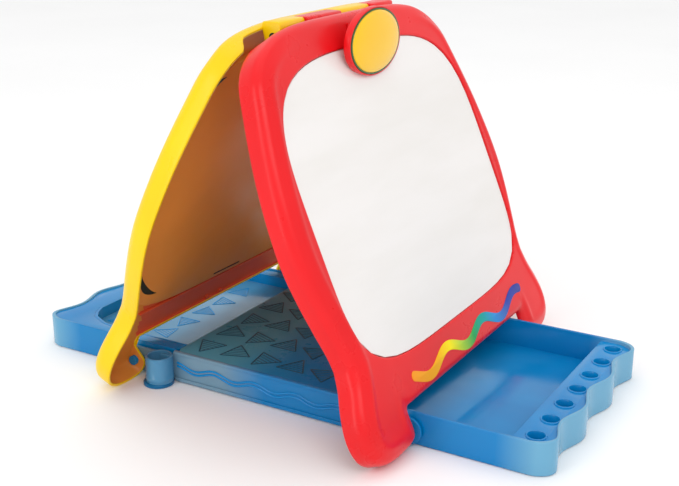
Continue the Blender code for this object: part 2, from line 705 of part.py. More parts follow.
def build_rear_tray(group, cutters, finish):
    tray = tray_body("rear_tray", 1, group, cutters, finish)
    under = prism_mesh(tray_outline(TRAY_WALL, TRAY_START + TRAY_WALL), TRAY_UNDER + TRAY_WALL, 13.0)
    mouth = prism_mesh(tray_outline(14, TRAY_START + 14), TRAY_UNDER - 1, TRAY_UNDER + TRAY_WALL + 1)
    corner = [(88, TRAY_START + 6), (88, 168), (78, 196), (60, 206)]
    recess = prism_mesh(corner + [(-x, y) for x, y in reversed(corner)], 15.4, TRAY_TOP + 1)
    combine(tray, turned_out([under, mouth, recess], 1), "DIFFERENCE", cutters)


# ---------------------------------------------------------------- the whole easel

def main():
    clear_scene()
    group, cutters = collection("kids_easel"), collection("cutters")
    red = material("red_plastic", RED, 0.3)
    yellow = material("yellow_plastic", YELLOW, 0.3)
    blue = material("blue_plastic", BLUE, 0.2)
    steel = material("steel", STEEL, 0.3, 1.0)
    badge = material("badge", YELLOW, 0.2)

    build_shell(FRONT, red, group, cutters)
    build_shell(REAR, yellow, group, cutters)
    build_board("whiteboard", FRONT, material("whiteboard", WHITE, 0.15), group)
    build_board("chalkboard", REAR, material("chalkboard", CHALK, 0.7), group)
    build_squiggle(group, material("print", INK, 0.4))
    rod = new_object("hinge_rod", rod_mesh(ROD_RADIUS, -ROD_HALF, ROD_HALF, sides=20), group, steel)
    place_on_panel(rod, True)
    build_clip(FRONT_CLIP, red, badge, steel, group, cutters)
    build_clip(REAR_CLIP, yellow, red, steel, group, cutters)
    build_dock(group, cutters, blue)
    build_deck(group, blue)
    build_pivot_pins(group, blue)
    build_front_tray(group, cutters, blue)
    build_rear_tray(group, cutters, blue)


main()
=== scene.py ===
"""The looks of a folding tabletop easel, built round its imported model.

Lengths are in mm and become metres in the mesh helpers. A panel piece is made in the panel's own frame:
X across, -Y out of its face and +Z up its slope, with the top hinge at the origin. The rear panel's frame is
turned half a turn about Z. Tray pieces are made with Y growing outwards, and turned for the front tray.
"""
import json
import math
from collections import namedtuple

import bmesh
import bpy
import numpy as np
from mathutils import Matrix, Vector


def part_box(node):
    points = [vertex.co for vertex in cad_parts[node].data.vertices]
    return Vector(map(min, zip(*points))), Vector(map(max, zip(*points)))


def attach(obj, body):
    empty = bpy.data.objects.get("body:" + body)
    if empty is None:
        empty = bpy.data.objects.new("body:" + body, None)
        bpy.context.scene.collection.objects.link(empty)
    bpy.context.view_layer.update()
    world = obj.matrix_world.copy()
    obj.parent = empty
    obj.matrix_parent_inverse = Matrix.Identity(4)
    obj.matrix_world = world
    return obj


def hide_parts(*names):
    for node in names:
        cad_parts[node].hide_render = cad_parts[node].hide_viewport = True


MM = 0.001

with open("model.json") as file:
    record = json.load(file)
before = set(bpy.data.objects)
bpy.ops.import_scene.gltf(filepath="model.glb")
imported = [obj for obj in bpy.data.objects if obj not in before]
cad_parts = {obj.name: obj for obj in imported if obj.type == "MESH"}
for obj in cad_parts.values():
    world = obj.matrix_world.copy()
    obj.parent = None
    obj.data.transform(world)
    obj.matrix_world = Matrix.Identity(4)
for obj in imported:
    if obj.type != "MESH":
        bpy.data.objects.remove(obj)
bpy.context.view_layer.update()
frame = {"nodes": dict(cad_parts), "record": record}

# ---------------------------------------------------------------- sizes that the frame gives

JOINTS = {joint["name"]: joint for joint in frame["record"]["behaviour"]["joints"]}
HINGE_HEIGHT = JOINTS["top_hinge"]["pos_m"][2] / MM
PIVOT_Y, PIVOT_Z = (value / MM for value in JOINTS["rear_fold"]["pos_m"][1:])
DOCK_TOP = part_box("dock_housing")[1][2] / MM
DECK_LOW, DECK_HIGH = (tuple(value / MM for value in corner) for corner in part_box("dock_deck"))
TRAY_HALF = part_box("rear_tray")[1][0] / MM

# The panels
FOOT_REACH = 120.0
PANEL_LENGTH = math.hypot(HINGE_HEIGHT, FOOT_REACH)
LEAN = math.atan2(FOOT_REACH, HINGE_HEIGHT)
FACE = 20.5                 # the front face's height over the inner rim plane
PAN = 16.7                  # the height of the pan behind the board
WALL = 2.4
WINDOW_EDGE = 0.9           # the rounding round the window
LIP_EDGE = 0.6              # the rounding of the rim's lip
GROOVE_DEPTH, GROOVE_INSET, GROOVE_WIDTH = 0.45, 7.0, 2.4
RAIL_RISE, RAIL_INSET, RAIL_WIDTH = 0.8, 12.5, 2.6
SIDE_ROUND = 11.0
TOP_ROUND = 8.0
ARCH_ROUND = 5.0
ARCH_RIM = 15.0
TOP_RIM = 10.0
TOP_EDGE = 312.0
ARCH_HEIGHT = 27.5
LEG_INSIDE = 106.2
WINDOW_HALF = 144.5
WINDOW_LEVEL = 166.0
WINDOW_UP = 119.0
WINDOW_DOWN = 106.5
WINDOW_POWER_UP = 3.7
WINDOW_POWER_DOWN = 4.8

Panel = namedtuple("Panel", "name body rear sides_wider feet_wider")
FRONT = Panel("front", "front_panel", False, 3.0, 1.5)
REAR = Panel("rear", "rear_panel", True, -3.0, -8.0)


# ---------------------------------------------------------------- shapes

def smooth_step(value, low, high):
    t = np.clip((np.asarray(value, float) - low) / (high - low), 0.0, 1.0)
    return t * t * (3 - 2 * t)


def spline_through(points, steps=24):
    """A smooth open curve through 2-D points (Catmull-Rom)."""
    ends = [points[0]] + list(points) + [points[-1]]
    made = []
    for a, b, c, d in zip(ends, ends[1:], ends[2:], ends[3:]):
        for k in range(steps):
            t = k / steps
            made.append(tuple(0.5 * (2 * q + (r - p) * t + (2 * p - 5 * q + 4 * r - s) * t * t
                                     + (3 * q - p - 3 * r + s) * t ** 3)
                              for p, q, r, s in zip(a, b, c, d)))
    made.append(tuple(points[-1]))
    return np.array(made)


def evenly(points, count):
    """count points at equal steps along a polyline, both ends included."""
    points = np.asarray(points, float)
    along = np.concatenate([[0.0], np.cumsum(np.hypot(*np.diff(points, axis=0).T))])
    want = np.linspace(0.0, along[-1], count)
    return np.stack([np.interp(want, along, points[:, i]) for i in (0, 1)], axis=1)


def mirrored(half):
    """A closed outline from its right half, which runs from the bottom middle to the top middle."""
    return np.concatenate([half, half[-2:0:-1] * (-1, 1)])


def moved_in(outline, distance):
    """An anticlockwise outline moved in by a distance, out where it is negative."""
    step = np.roll(outline, -1, axis=0) - np.roll(outline, 1, axis=0)
    step /= np.maximum(np.hypot(step[:, 0], step[:, 1]), 1e-9)[:, None]
    return outline + np.stack([-step[:, 1], step[:, 0]], axis=1) * distance


def distance_to(outline, points):
    """Each point's distance to a closed outline."""
    start, along = outline, np.roll(outline, -1, axis=0) - outline
    rel = points[:, None, :] - start[None]
    t = np.clip((rel * along).sum(2) / np.maximum((along ** 2).sum(1), 1e-12), 0, 1)
    gap = rel - t[:, :, None] * along[None]
    return np.sqrt((gap ** 2).sum(2)).min(1)


ARCH = [(0, ARCH_HEIGHT), (50, ARCH_HEIGHT), (101, ARCH_HEIGHT)]
LEG = [(101, ARCH_HEIGHT), (104.9, 27.2), (LEG_INSIDE, 24), (LEG_INSIDE, 9), (109, 2.6), (117, 0), (138, 0),
       (150, 3), (159, 10), (163.5, 21), (163.5, 33), (159.5, 47), (153, 61), (149, 74)]
SIDE = [(149, 74), (150, 86), (155, 105), (160.5, 128), (163.8, 150), (164, 170), (161.5, 195), (157.5, 218),
        (152, 240), (146, 260)]
CROWN = [(146, 260), (139, 279.5), (126, 294.8), (107, 304.8), (85, 309.6), (60, 311.6), (30, TOP_EDGE),
         (0, TOP_EDGE)]
# Each stretch: its curve, its number of points with both ends, and the window angles that it is joined to,
# in degrees up from the window's lowest point
STRETCHES = [(ARCH, 24, 0, 40), (LEG, 66, 40, 62), (SIDE, 44, 62, 139), (CROWN, 44, 139, 180)]


def shell_outline(panel):
    half = []
    for points, count, _, _ in STRETCHES:
        curve = spline_through(points)
        wider = panel.feet_wider + (panel.sides_wider - panel.feet_wider) * smooth_step(curve[:, 1], 45, 90)
        curve[:, 0] += wider * smooth_step(curve[:, 0], 112, 140)
        half.append(evenly(curve, count)[:-1])
    return mirrored(np.concatenate(half + [[(0.0, TOP_EDGE)]]))


def window_outline():
    steps_per_degree = 8
    a = np.radians(np.linspace(0, 180, 180 * steps_per_degree + 1))
    power = np.where(a < math.pi / 2, WINDOW_POWER_DOWN, WINDOW_POWER_UP)
    reach = np.where(a < math.pi / 2, WINDOW_DOWN, WINDOW_UP)
    x = WINDOW_HALF * np.abs(np.sin(a)) ** (2 / power)
    v = WINDOW_LEVEL - np.sign(np.cos(a)) * reach * np.abs(np.cos(a)) ** (2 / power)
    fine = np.stack([x, v], axis=1)
    half = []
    for _, count, low, high in STRETCHES:
        stretch = fine[low * steps_per_degree:high * steps_per_degree + 1]
        half.append(evenly(stretch, count)[:-1])
    return mirrored(np.concatenate(half + [fine[-1:]]))


def edge_round(x, v):
    top = smooth_step(v, 285, 303)
    arch = (1 - smooth_step(v, 50, 62)) * (1 - smooth_step(np.abs(x), 102, 114))
    return SIDE_ROUND + (TOP_ROUND - SIDE_ROUND) * top + (ARCH_ROUND - SIDE_ROUND) * arch


def rail_share(x, v):
    """1 along the sides and legs, 0 along the top band and over the arch."""
    top = smooth_step(v, 262, 296) * (1 - smooth_step(np.abs(x), 70, 128))
    arch = (1 - smooth_step(v, 46, 66)) * (1 - smooth_step(np.abs(x), 104, 124))
    return (1 - top) * (1 - arch)


def face_height(points, inset):
    """The front face over the rim plane: a bullnose, a shallow groove and a soft rail beside the window."""
    x, v = points.T
    radius = edge_round(x, v)
    past = np.maximum(0.0, radius - inset)
    bullnose = FACE - radius + np.sqrt(radius ** 2 - past ** 2)
    groove = GROOVE_DEPTH * np.exp(-((inset - GROOVE_INSET) / GROOVE_WIDTH) ** 2)
    rail = RAIL_RISE * np.exp(-((inset - RAIL_INSET) / RAIL_WIDTH) ** 2)
    return bullnose + (rail - groove) * rail_share(x, v)


def rim_height(points):
    x, v = points.T
    arch = ARCH_RIM * (1 - smooth_step(np.abs(x), LEG_INSIDE + 0.5, LEG_INSIDE + 3)) * smooth_step(v, 11, 22)
    return np.maximum(arch * (1 - smooth_step(v, 30, 40)), TOP_RIM * smooth_step(v, 301, 306))


# ---------------------------------------------------------------- mesh helpers

def to_mesh(bm):
    bmesh.ops.recalc_face_normals(bm, faces=bm.faces)
    mesh = bpy.data.meshes.new("piece")
    bm.to_mesh(mesh)
    bm.free()
    return mesh


def loft_mesh(rings):
    """A closed skin through rings of equally many 3-D points, in mm."""
    bm = bmesh.new()
    rows = [[bm.verts.new(Vector(p) * MM) for p in ring] for ring in rings]
    for row, after in zip(rows, rows[1:]):
        for i in range(len(row)):
            j = (i + 1) % len(row)
            bm.faces.new([row[i], row[j], after[j], after[i]])
    bm.faces.new(rows[0])
    bm.faces.new(rows[-1])
    return to_mesh(bm)


def turned_mesh(profile, sides=96):
    """A body turned round Z from (radius, height) points in mm; a ring if neither end is on the axis."""
    bm = bmesh.new()
    closed = min(profile[0][0], profile[-1][0]) > 0
    rows = []
    for radius, height in profile:
        if radius == 0:
            rows.append([bm.verts.new((0, 0, height * MM))])
        else:
            turn = [2 * math.pi * k / sides for k in range(sides)]
            rows.append([bm.verts.new((radius * math.cos(a) * MM, radius * math.sin(a) * MM, height * MM))
                         for a in turn])
    for row, after in zip(rows, rows[1:] + ([rows[0]] if closed else [])):
        for i in range(sides):
            j = (i + 1) % sides
            corners = [row[i % len(row)], row[j % len(row)], after[j % len(after)], after[i % len(after)]]
            bm.faces.new(list(dict.fromkeys(corners)))
    return to_mesh(bm)


def plate_mesh(outline, low, high, bevel=0.5, holes=()):
    """A flat plate with rounded edges and holes, from a 2-D outline in mm, between two heights."""
    curve = bpy.data.curves.new("plate", "CURVE")
    curve.dimensions = "2D"
    curve.fill_mode = "BOTH"
    curve.extrude = ((high - low) / 2 - bevel) * MM
    curve.bevel_depth = bevel * MM
    curve.bevel_resolution = 2
    curve.offset = -bevel * MM
    for points in (outline, *holes):
        line = curve.splines.new("POLY")
        line.points.add(len(points) - 1)
        for point, (x, y) in zip(line.points, points):
            point.co = (x * MM, y * MM, 0, 1)
        line.use_cyclic_u = True
    holder = bpy.data.objects.new("plate", curve)
    bpy.context.scene.collection.objects.link(holder)
    graph = bpy.context.evaluated_depsgraph_get()
    mesh = bpy.data.meshes.new_from_object(holder.evaluated_get(graph))
    bpy.data.objects.remove(holder)
    bm = bmesh.new()
    bm.from_mesh(mesh)
    bmesh.ops.remove_doubles(bm, verts=bm.verts, dist=1e-6)
    bmesh.ops.translate(bm, verts=bm.verts, vec=(0, 0, (high + low) / 2 * MM))
    return to_mesh(bm)


def box_mesh(low, high, bevel=0.6):
    (x0, y0, z0), (x1, y1, z1) = low, high
    return plate_mesh([(x0, y0), (x1, y0), (x1, y1), (x0, y1)], z0, z1, bevel)


def tube_mesh(points, radius, sides=6):
    """A tube along 3-D points in mm, with closed ends."""
    bm = bmesh.new()
    points = [Vector(p) for p in points]
    rows = []
    for i, point in enumerate(points):
        along = (points[min(i + 1, len(points) - 1)] - points[max(i - 1, 0)]).normalized()
        side = along.cross(Vector((0, 0, 1)) if abs(along.z) < 0.9 else Vector((1, 0, 0))).normalized()
        up = side.cross(along)
        turn = [2 * math.pi * k / sides for k in range(sides)]
        rows.append([bm.verts.new((point + (side * math.cos(a) + up * math.sin(a)) * radius) * MM)
                     for a in turn])
    for row, after in zip(rows, rows[1:]):
        for i in range(sides):
            bm.faces.new([row[i], row[(i + 1) % sides], after[(i + 1) % sides], after[i]])
    bm.faces.new(rows[0])
    bm.faces.new(rows[-1])
    return to_mesh(bm)


def moved(mesh, *matrices):
    """The mesh, moved in place by each matrix in turn."""
    for matrix in matrices:
        mesh.transform(matrix)
    return mesh


def joined(meshes):
    bm = bmesh.new()
    for mesh in meshes:
        bm.from_mesh(mesh)
    return to_mesh(bm)


def shift(x, y, z):
    return Matrix.Translation(Vector((x, y, z)) * MM)


def axes(x, y, z):
    """The matrix that sends X, Y and Z to the given directions."""
    return Matrix((x, y, z)).transposed().to_4x4()


def panel_place(panel):
    """From a panel's own frame to the easel's."""
    turn = Matrix.Rotation(math.pi if panel.rear else 0.0, 4, "Z")
    return shift(0, 0, HINGE_HEIGHT) @ turn @ Matrix.Rotation(-LEAN, 4, "X")


def piece(name, mesh, body, material, stands_for=(), smooth=40):
    """A finished piece: shaded, painted, and riding on a body of the frame."""
    obj = bpy.data.objects.new(name, mesh)
    bpy.context.scene.collection.objects.link(obj)
    for finish in material if isinstance(material, (list, tuple)) else [material]:
        obj.data.materials.append(finish)
    obj.data.shade_smooth()
    obj.data.set_sharp_from_angle(angle=math.radians(smooth))
    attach(obj, body)
    if stands_for:
        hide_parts(*stands_for)


# ---------------------------------------------------------------- materials

def new_material(name):
    made = bpy.data.materials.new(name)
    made.use_nodes = True
    tree = made.node_tree
    return made, tree, tree.nodes["Principled BSDF"]


def noise(tree, scale, detail=3.0, stretch=(1, 1, 1)):
    """Object-space noise, as a socket."""
    coords = tree.nodes.new("ShaderNodeTexCoord")
    mapping = tree.nodes.new("ShaderNodeMapping")
    mapping.inputs["Scale"].default_value = stretch
    made = tree.nodes.new("ShaderNodeTexNoise")
    made.inputs["Scale"].default_value = scale
    made.inputs["Detail"].default_value = detail
    tree.links.new(coords.outputs["Object"], mapping.inputs["Vector"])
    tree.links.new(mapping.outputs["Vector"], made.inputs["Vector"])
    return made.outputs["Fac"]


def ramp(tree, source, stops):
    made = tree.nodes.new("ShaderNodeValToRGB")
    elements = made.color_ramp.elements
    while len(elements) < len(stops):
        elements.new(0.5)
    for element, (place, color) in zip(elements, stops):
        element.position = place
        element.color = (*color, 1.0)
    tree.links.new(source, made.inputs["Fac"])
    return made.outputs["Color"]


def spread(tree, source, low, high):
    """The middle of a noise, stretched to run from low to high."""
    made = tree.nodes.new("ShaderNodeMapRange")
    made.inputs["From Min"].default_value = 0.3
    made.inputs["From Max"].default_value = 0.7
    made.inputs["To Min"].default_value = low
    made.inputs["To Max"].default_value = high
    tree.links.new(source, made.inputs["Value"])
    return made.outputs["Result"]


def bump(tree, source, shader, strength, distance):
    made = tree.nodes.new("ShaderNodeBump")
    made.inputs["Strength"].default_value = strength
    made.inputs["Distance"].default_value = distance
    tree.links.new(source, made.inputs["Height"])
    tree.links.new(made.outputs["Normal"], shader.inputs["Normal"])


def along_axis(tree, axis, low, high, both_ways=False):
    """0 at one place along an axis and 1 at another, in mm; both_ways counts away from the middle."""
    coords = tree.nodes.new("ShaderNodeTexCoord")
    split = tree.nodes.new("ShaderNodeSeparateXYZ")
    along = tree.nodes.new("ShaderNodeMapRange")
    along.inputs["From Min"].default_value = low * MM
    along.inputs["From Max"].default_value = high * MM
    tree.links.new(coords.outputs["Object"], split.inputs["Vector"])
    place = split.outputs[axis]
    if both_ways:
        away = tree.nodes.new("ShaderNodeMath")
        away.operation = "ABSOLUTE"
        tree.links.new(place, away.inputs[0])
        place = away.outputs["Value"]
    tree.links.new(place, along.inputs["Value"])
    return along.outputs["Result"]


def shaded(color, factor):
    return tuple(min(1.0, c * factor) for c in color)


def plastic(name, color, rough=0.3, coat=0.25):
    """Moulded, coloured-through plastic: slow tint drift, a fine moulded grain and uneven gloss."""
    made, tree, shader = new_material(name)
    tint = ramp(tree, noise(tree, 9.0), [(0.3, shaded(color, 0.9)), (0.7, shaded(color, 1.06))])
    tree.links.new(tint, shader.inputs["Base Color"])
    roughness = spread(tree, noise(tree, 34.0, 5.0), rough * 0.8, rough * 1.25)
    tree.links.new(roughness, shader.inputs["Roughness"])
    bump(tree, noise(tree, 500.0, 2.0), shader, 0.03, 0.0001)
    shader.inputs["Specular IOR Level"].default_value = 0.28
    shader.inputs["Coat Weight"].default_value = coat
    shader.inputs["Coat Roughness"].default_value = 0.12
    shader.inputs["Subsurface Weight"].default_value = 0.06
    shader.inputs["Subsurface Radius"].default_value = (0.004, 0.002, 0.001)
    shader.inputs["Subsurface Scale"].default_value = 0.5
    return made


def clear_plastic(name, color, deep, clearness, rough=0.16):
    """Tinted see-through plastic with faint flow marks and a slightly uneven surface."""
    made, tree, shader = new_material(name)
    tint = ramp(tree, noise(tree, 14.0, 4.0, (1.0, 0.35, 1.0)), [(0.28, deep), (0.72, color)])
    tree.links.new(tint, shader.inputs["Base Color"])
    tree.links.new(spread(tree, noise(tree, 60.0, 4.0), rough * 0.7, rough * 1.5), shader.inputs["Roughness"])
    bump(tree, noise(tree, 220.0, 2.0), shader, 0.08, 0.0004)
    shader.inputs["Transmission Weight"].default_value = clearness
    shader.inputs["IOR"].default_value = 1.45
    shader.inputs["Specular IOR Level"].default_value = 0.35
    shader.inputs["Coat Weight"].default_value = 0.12
    shader.inputs["Coat Roughness"].default_value = 0.08
    return made


def board_material(name, color, streak, rough, marks):
    """A writing surface: faint wiped streaks over an even coat."""
    made, tree, shader = new_material(name)
    wiped = noise(tree, 7.0, 6.0, (1.0, 1.0, 5.0))
    tree.links.new(ramp(tree, wiped, [(0.35, streak), (0.35 + marks, color)]), shader.inputs["Base Color"])
    roughness = spread(tree, noise(tree, 45.0, 5.0), rough * 0.85, rough * 1.2)
    tree.links.new(roughness, shader.inputs["Roughness"])
    bump(tree, noise(tree, 1500.0, 2.0), shader, 0.05, 0.0001)
    return made


def steel_material():
    made, tree, shader = new_material("zinc_steel")
    drawn = noise(tree, 120.0, 5.0, (6.0, 1.0, 1.0))
    tint = ramp(tree, drawn, [(0.3, (0.42, 0.42, 0.44)), (0.7, (0.66, 0.66, 0.67))])
    tree.links.new(tint, shader.inputs["Base Color"])
    roughness = spread(tree, noise(tree, 300.0, 3.0, (8.0, 1.0, 1.0)), 0.22, 0.38)
    tree.links.new(roughness, shader.inputs["Roughness"])
    shader.inputs["Metallic"].default_value = 1.0
    return made


def rainbow_material(low, high):
    """Printed ink that runs through the spectrum from one end of the wave to the other."""
    made, tree, shader = new_material("rainbow_print")
    color = ramp(tree, along_axis(tree, "X", low, high),
                 [(0.0, (0.94, 0.33, 0.02)), (0.20, (0.98, 0.46, 0.01)), (0.31, (1.0, 0.82, 0.0)),
                  (0.40, (0.45, 0.70, 0.06)), (0.50, (0.02, 0.42, 0.10)), (0.62, (0.0, 0.36, 0.36)),
                  (0.71, (0.03, 0.30, 0.72)), (0.84, (0.03, 0.07, 0.42)), (1.0, (0.03, 0.04, 0.30))])
    tree.links.new(color, shader.inputs["Base Color"])
    tree.links.new(spread(tree, noise(tree, 180.0, 3.0), 0.32, 0.44), shader.inputs["Roughness"])
    shader.inputs["Specular IOR Level"].default_value = 0.15
    bump(tree, noise(tree, 1200.0, 2.0), shader, 0.05, 0.0001)
    return made


def layered_shade_blue(name, near, far, near_color, far_color, clearness, both_ways):
    """See-through blue that changes along Y: painted shade and painted see-through, deeper where more layers
    lie behind it and paler where fewer do.
    """
    made, tree, shader = new_material(name)
    place = along_axis(tree, "Y", near, far, both_ways)
    tree.links.new(ramp(tree, place, [(0.0, near_color), (1.0, far_color)]), shader.inputs["Base Color"])
    tree.links.new(spread(tree, noise(tree, 60.0, 4.0), 0.12, 0.26), shader.inputs["Roughness"])
    bump(tree, noise(tree, 220.0, 2.0), shader, 0.05, 0.0002)
    shader.inputs["Specular IOR Level"].default_value = 0.35
    shader.inputs["Transmission Weight"].default_value = clearness
    return made


def shaded_deck_material():
    """The deck's plastic, with painted light and shade along Y: grey blue at the back where it is lit, deep
    blue toward the front where it is shaded and where the front tray lies under it.
    """
    made, tree, shader = new_material("deck_painted_shade")
    color = ramp(tree, along_axis(tree, "Y", -45, 35),
                 [(0.0, (0.0, 0.17, 0.44)), (0.55, (0.01, 0.20, 0.42)), (1.0, (0.07, 0.30, 0.42))])
    tree.links.new(color, shader.inputs["Base Color"])
    tree.links.new(spread(tree, noise(tree, 60.0, 4.0), 0.25, 0.42), shader.inputs["Roughness"])
    bump(tree, noise(tree, 400.0, 2.0), shader, 0.03, 0.0001)
    shader.inputs["Specular IOR Level"].default_value = 0.2
    return made


RED = plastic("red_plastic_look", (0.80, 0.006, 0.010), rough=0.3, coat=0.06)
YELLOW = plastic("yellow_plastic_look", (0.96, 0.62, 0.0), coat=0.1)
DOME = plastic("badge_yellow", (1.0, 0.56, 0.008), rough=0.14, coat=0.3)
DARK_GREEN = plastic("badge_green", (0.03, 0.12, 0.03), rough=0.3)
# Painted shade: the yellow shell's inside, orange-brown as if lit only by red light bounced off the red
# shell.
YELLOW_INSIDE_PAINTED_SHADE = plastic("yellow_inside_painted_shade", (0.82, 0.30, 0.045), rough=0.42, coat=0.05)
# Painted shade and painted red reflection: the yellow shell's lower inner band and its ribs, red-brown.
YELLOW_BAND_SHADE_RED_REFLECTION = plastic("yellow_band_shade_red_reflection", (0.78, 0.12, 0.04), rough=0.42, coat=0.05)
# Painted shade: a darker copy of the red plastic for the red shell's inside and its ribs.
RED_INSIDE_PAINTED_SHADE = plastic("red_inside_painted_shade", (0.60, 0.010, 0.014), rough=0.42, coat=0.05)
# Painted shade: a near-black sheet standing for the shade in the slots and in the rod's bore.
PAINTED_SLOT_SHADE = plastic("slot_shadow", (0.02, 0.025, 0.015), rough=0.7, coat=0.0)
BLUE = clear_plastic("blue_clear", (0.0, 0.31, 0.72), (0.0, 0.22, 0.58), 0.16)
PALE_BLUE = clear_plastic("blue_frosted", (0.13, 0.42, 0.68), (0.06, 0.31, 0.58), 0.32)
# Painted shade and painted see-through: the tray walls and dock sides shift along Y with the layers behind
# them.
TRAY_WALL_SHADE_BLUE = layered_shade_blue("tray_wall_painted_shade", 192, 222, (0.0, 0.25, 0.62), (0.17, 0.46, 0.68), 0.2, True)
DOCK_SIDE_SHADE_BLUE = layered_shade_blue("dock_side_painted_shade", 0, 40, (0.0, 0.24, 0.60), (0.20, 0.37, 0.50), 0.25, False)
DEEP_BLUE = clear_plastic("blue_deep", (0.0, 0.20, 0.45), (0.0, 0.13, 0.34), 0.3)
# Painted light and shade: the deck is grey blue where lit and deep blue where shaded.
DECK_SHADED_BLUE = shaded_deck_material()
DECK_LINES = plastic("deck_lines", (0.012, 0.085, 0.14), rough=0.4, coat=0.0)
WHITE_BOARD = board_material("whiteboard_look", (0.85, 0.82, 0.80), (0.81, 0.78, 0.75), 0.2, 0.3)
CHALK_BOARD = board_material("chalkboard_look", (0.030, 0.036, 0.034), (0.075, 0.085, 0.082), 0.75, 0.25)
STEEL = steel_material()


# ---------------------------------------------------------------- panels

BAND_TOP = 58.0             # inside the shell, the band under the board ends here
# Shares of the way from the outline to the window, closer together where the face bends
FACE_SHARES = [0, 0.006, 0.014, 0.026, 0.042, 0.06, 0.08, 0.105, 0.135, 0.17, 0.21, 0.26, 0.32, 0.385, 0.455,
               0.53, 0.61, 0.69, 0.77, 0.84, 0.90, 0.95, 0.985]
INNER_SHARES = [0.0, 0.03, 0.07, 0.13, 0.22, 0.34, 0.5, 0.7, 0.86, 0.95, 1.0]


def at_height(points, height):
    """Outline points as 3-D points in the panel's frame."""
    height = np.broadcast_to(height, len(points))
    return np.stack([points[:, 0], -height, points[:, 1] - PANEL_LENGTH], axis=1)


def between(a, b, share):
    return a + (b - a) * share


def shell_mesh(panel):
    outer, window = shell_outline(panel), window_outline()
    edge = moved_in(window, -WINDOW_EDGE)
    rings = [at_height(window, PAN), at_height(window, FACE - WINDOW_EDGE)]
    rings.append(at_height(moved_in(window, -0.25), FACE - 0.3))
    for share in reversed(FACE_SHARES):
        row = between(outer, edge, share)
        rings.append(at_height(row, face_height(row, distance_to(outer, row))))
    rim = rim_height(outer)
    start = face_height(outer, np.zeros(len(outer)))
    for share in (0.35, 0.7):
        rings.append(at_height(outer, between(start, rim + LIP_EDGE, share)))
    lip = [(0.0, LIP_EDGE), (0.2, 0.2), (LIP_EDGE, 0.0)]
    lip += [(WALL - inset, rise) for inset, rise in reversed(lip)]
    for inset, rise in lip:
        rings.append(at_height(moved_in(outer, inset), rim + rise))
    inner, back_edge = moved_in(outer, WALL), moved_in(window, -WALL)
    for share in INNER_SHARES:
        row = between(inner, back_edge, share)
        height = face_height(row, distance_to(outer, row)) - WALL
        rings.append(at_height(row, height))
    corner = [(0.0, 0.8), (0.25, 0.25), (0.8, 0.0)]
    for inset, rise in corner:
        rings.append(at_height(moved_in(back_edge, inset), PAN - WALL + rise))
    mesh = loft_mesh(rings)
    paint_inside(mesh, (len(rings) - len(INNER_SHARES) - len(corner) - 1) * len(outer))
    return mesh


def paint_inside(mesh, first):
    """The inside's finishes from a face on, which are painted shade (index 1, and index 2 for the band low
    down between the legs), except the loft's first end: the pan behind the board.
    """
    for face in mesh.polygons[first:]:
        in_band = face.center.z / MM + PANEL_LENGTH < BAND_TOP and abs(face.center.x) / MM < LEG_INSIDE
        face.material_index = 2 if in_band else 1
    mesh.polygons[-2].material_index = 0


TAB_RADIUS, TAB_TOP = 7.6, 11.0
TAB_RANGES = ((-48.2, -0.3), (48.8, 82.7))
HINGE_END = TAB_RANGES[1][1]
# From a plate: its X to -Y, its Y to Z and its thickness to X
ACROSS_X = axes((0, -1, 0), (0, 0, 1), (1, 0, 0))


def knuckle_meshes():
    """Flat-topped tabs along the hinge; toward is the level way to the tab's own shell, up is plumb."""
    section = [(9.4, 6.0), (9.0, 9.6), (8.2, 10.6), (6.5, TAB_TOP), (-4.0, TAB_TOP), (-5.3, 10.2),
               (-6.4, 7.4)]
    section += [(TAB_RADIUS * math.cos(a), TAB_RADIUS * math.sin(a))
                for a in np.radians(np.arange(150, 341, 10))]
    turned = [(toward * math.cos(LEAN) + up * math.sin(LEAN), up * math.cos(LEAN) - toward * math.sin(LEAN))
              for toward, up in section]
    return [moved(plate_mesh(turned, start, end, 0.6), ACROSS_X) for start, end in TAB_RANGES]


def build_rod_ends():
    """The rod's bright end on a dark disc of painted bore shade, at both ends of the hinge."""
    for name, side, body in (("left", -1, "rear_panel"), ("right", 1, "front_panel")):
        turn = Matrix.Rotation(side * math.pi / 2, 4, "Y")
        bore = [(0, 0.0), (3.1, 0.0), (3.1, 0.12), (0, 0.12)]
        tip = [(0, 0.1), (1.7, 0.1), (1.5, 0.5), (0.8, 0.75), (0, 0.8)]
        place = shift(side * HINGE_END, 0, HINGE_HEIGHT)
        piece(f"rod_bore_{name}", moved(turned_mesh(bore, 40), turn, place), body, PAINTED_SLOT_SHADE)
        piece(f"rod_tip_{name}", moved(turned_mesh(tip, 40), turn, place), body, STEEL)


def build_shell(panel, finish, inside):
    mesh = moved(shell_mesh(panel), panel_place(panel))
    # The shell's inside faces take the painted-shade copies of its plastic.
    piece(f"{panel.name}_panel_shell", mesh, panel.body, (finish, *inside), [f"{panel.name}_shell"],
          smooth=55)
    knuckles = moved(joined(knuckle_meshes()), panel_place(panel))
    piece(f"{panel.name}_hinge_knuckles", knuckles, panel.body, finish)


def crescent(center, radius, start, end, width):
    """A flat crescent: an arc that is thick in the middle and pointed at its ends."""
    turn = np.radians(np.linspace(start, end, 25))
    half = width / 2 * np.sin(np.linspace(0, math.pi, 25))
    outside = [(center[0] + (radius + h) * math.cos(a), center[1] + (radius + h) * math.sin(a))
               for a, h in zip(turn, half)]
    inside = [(center[0] + (radius - h) * math.cos(a), center[1] + (radius - h) * math.sin(a))
              for a, h in zip(turn, half)]
    return outside + inside[-2:0:-1]


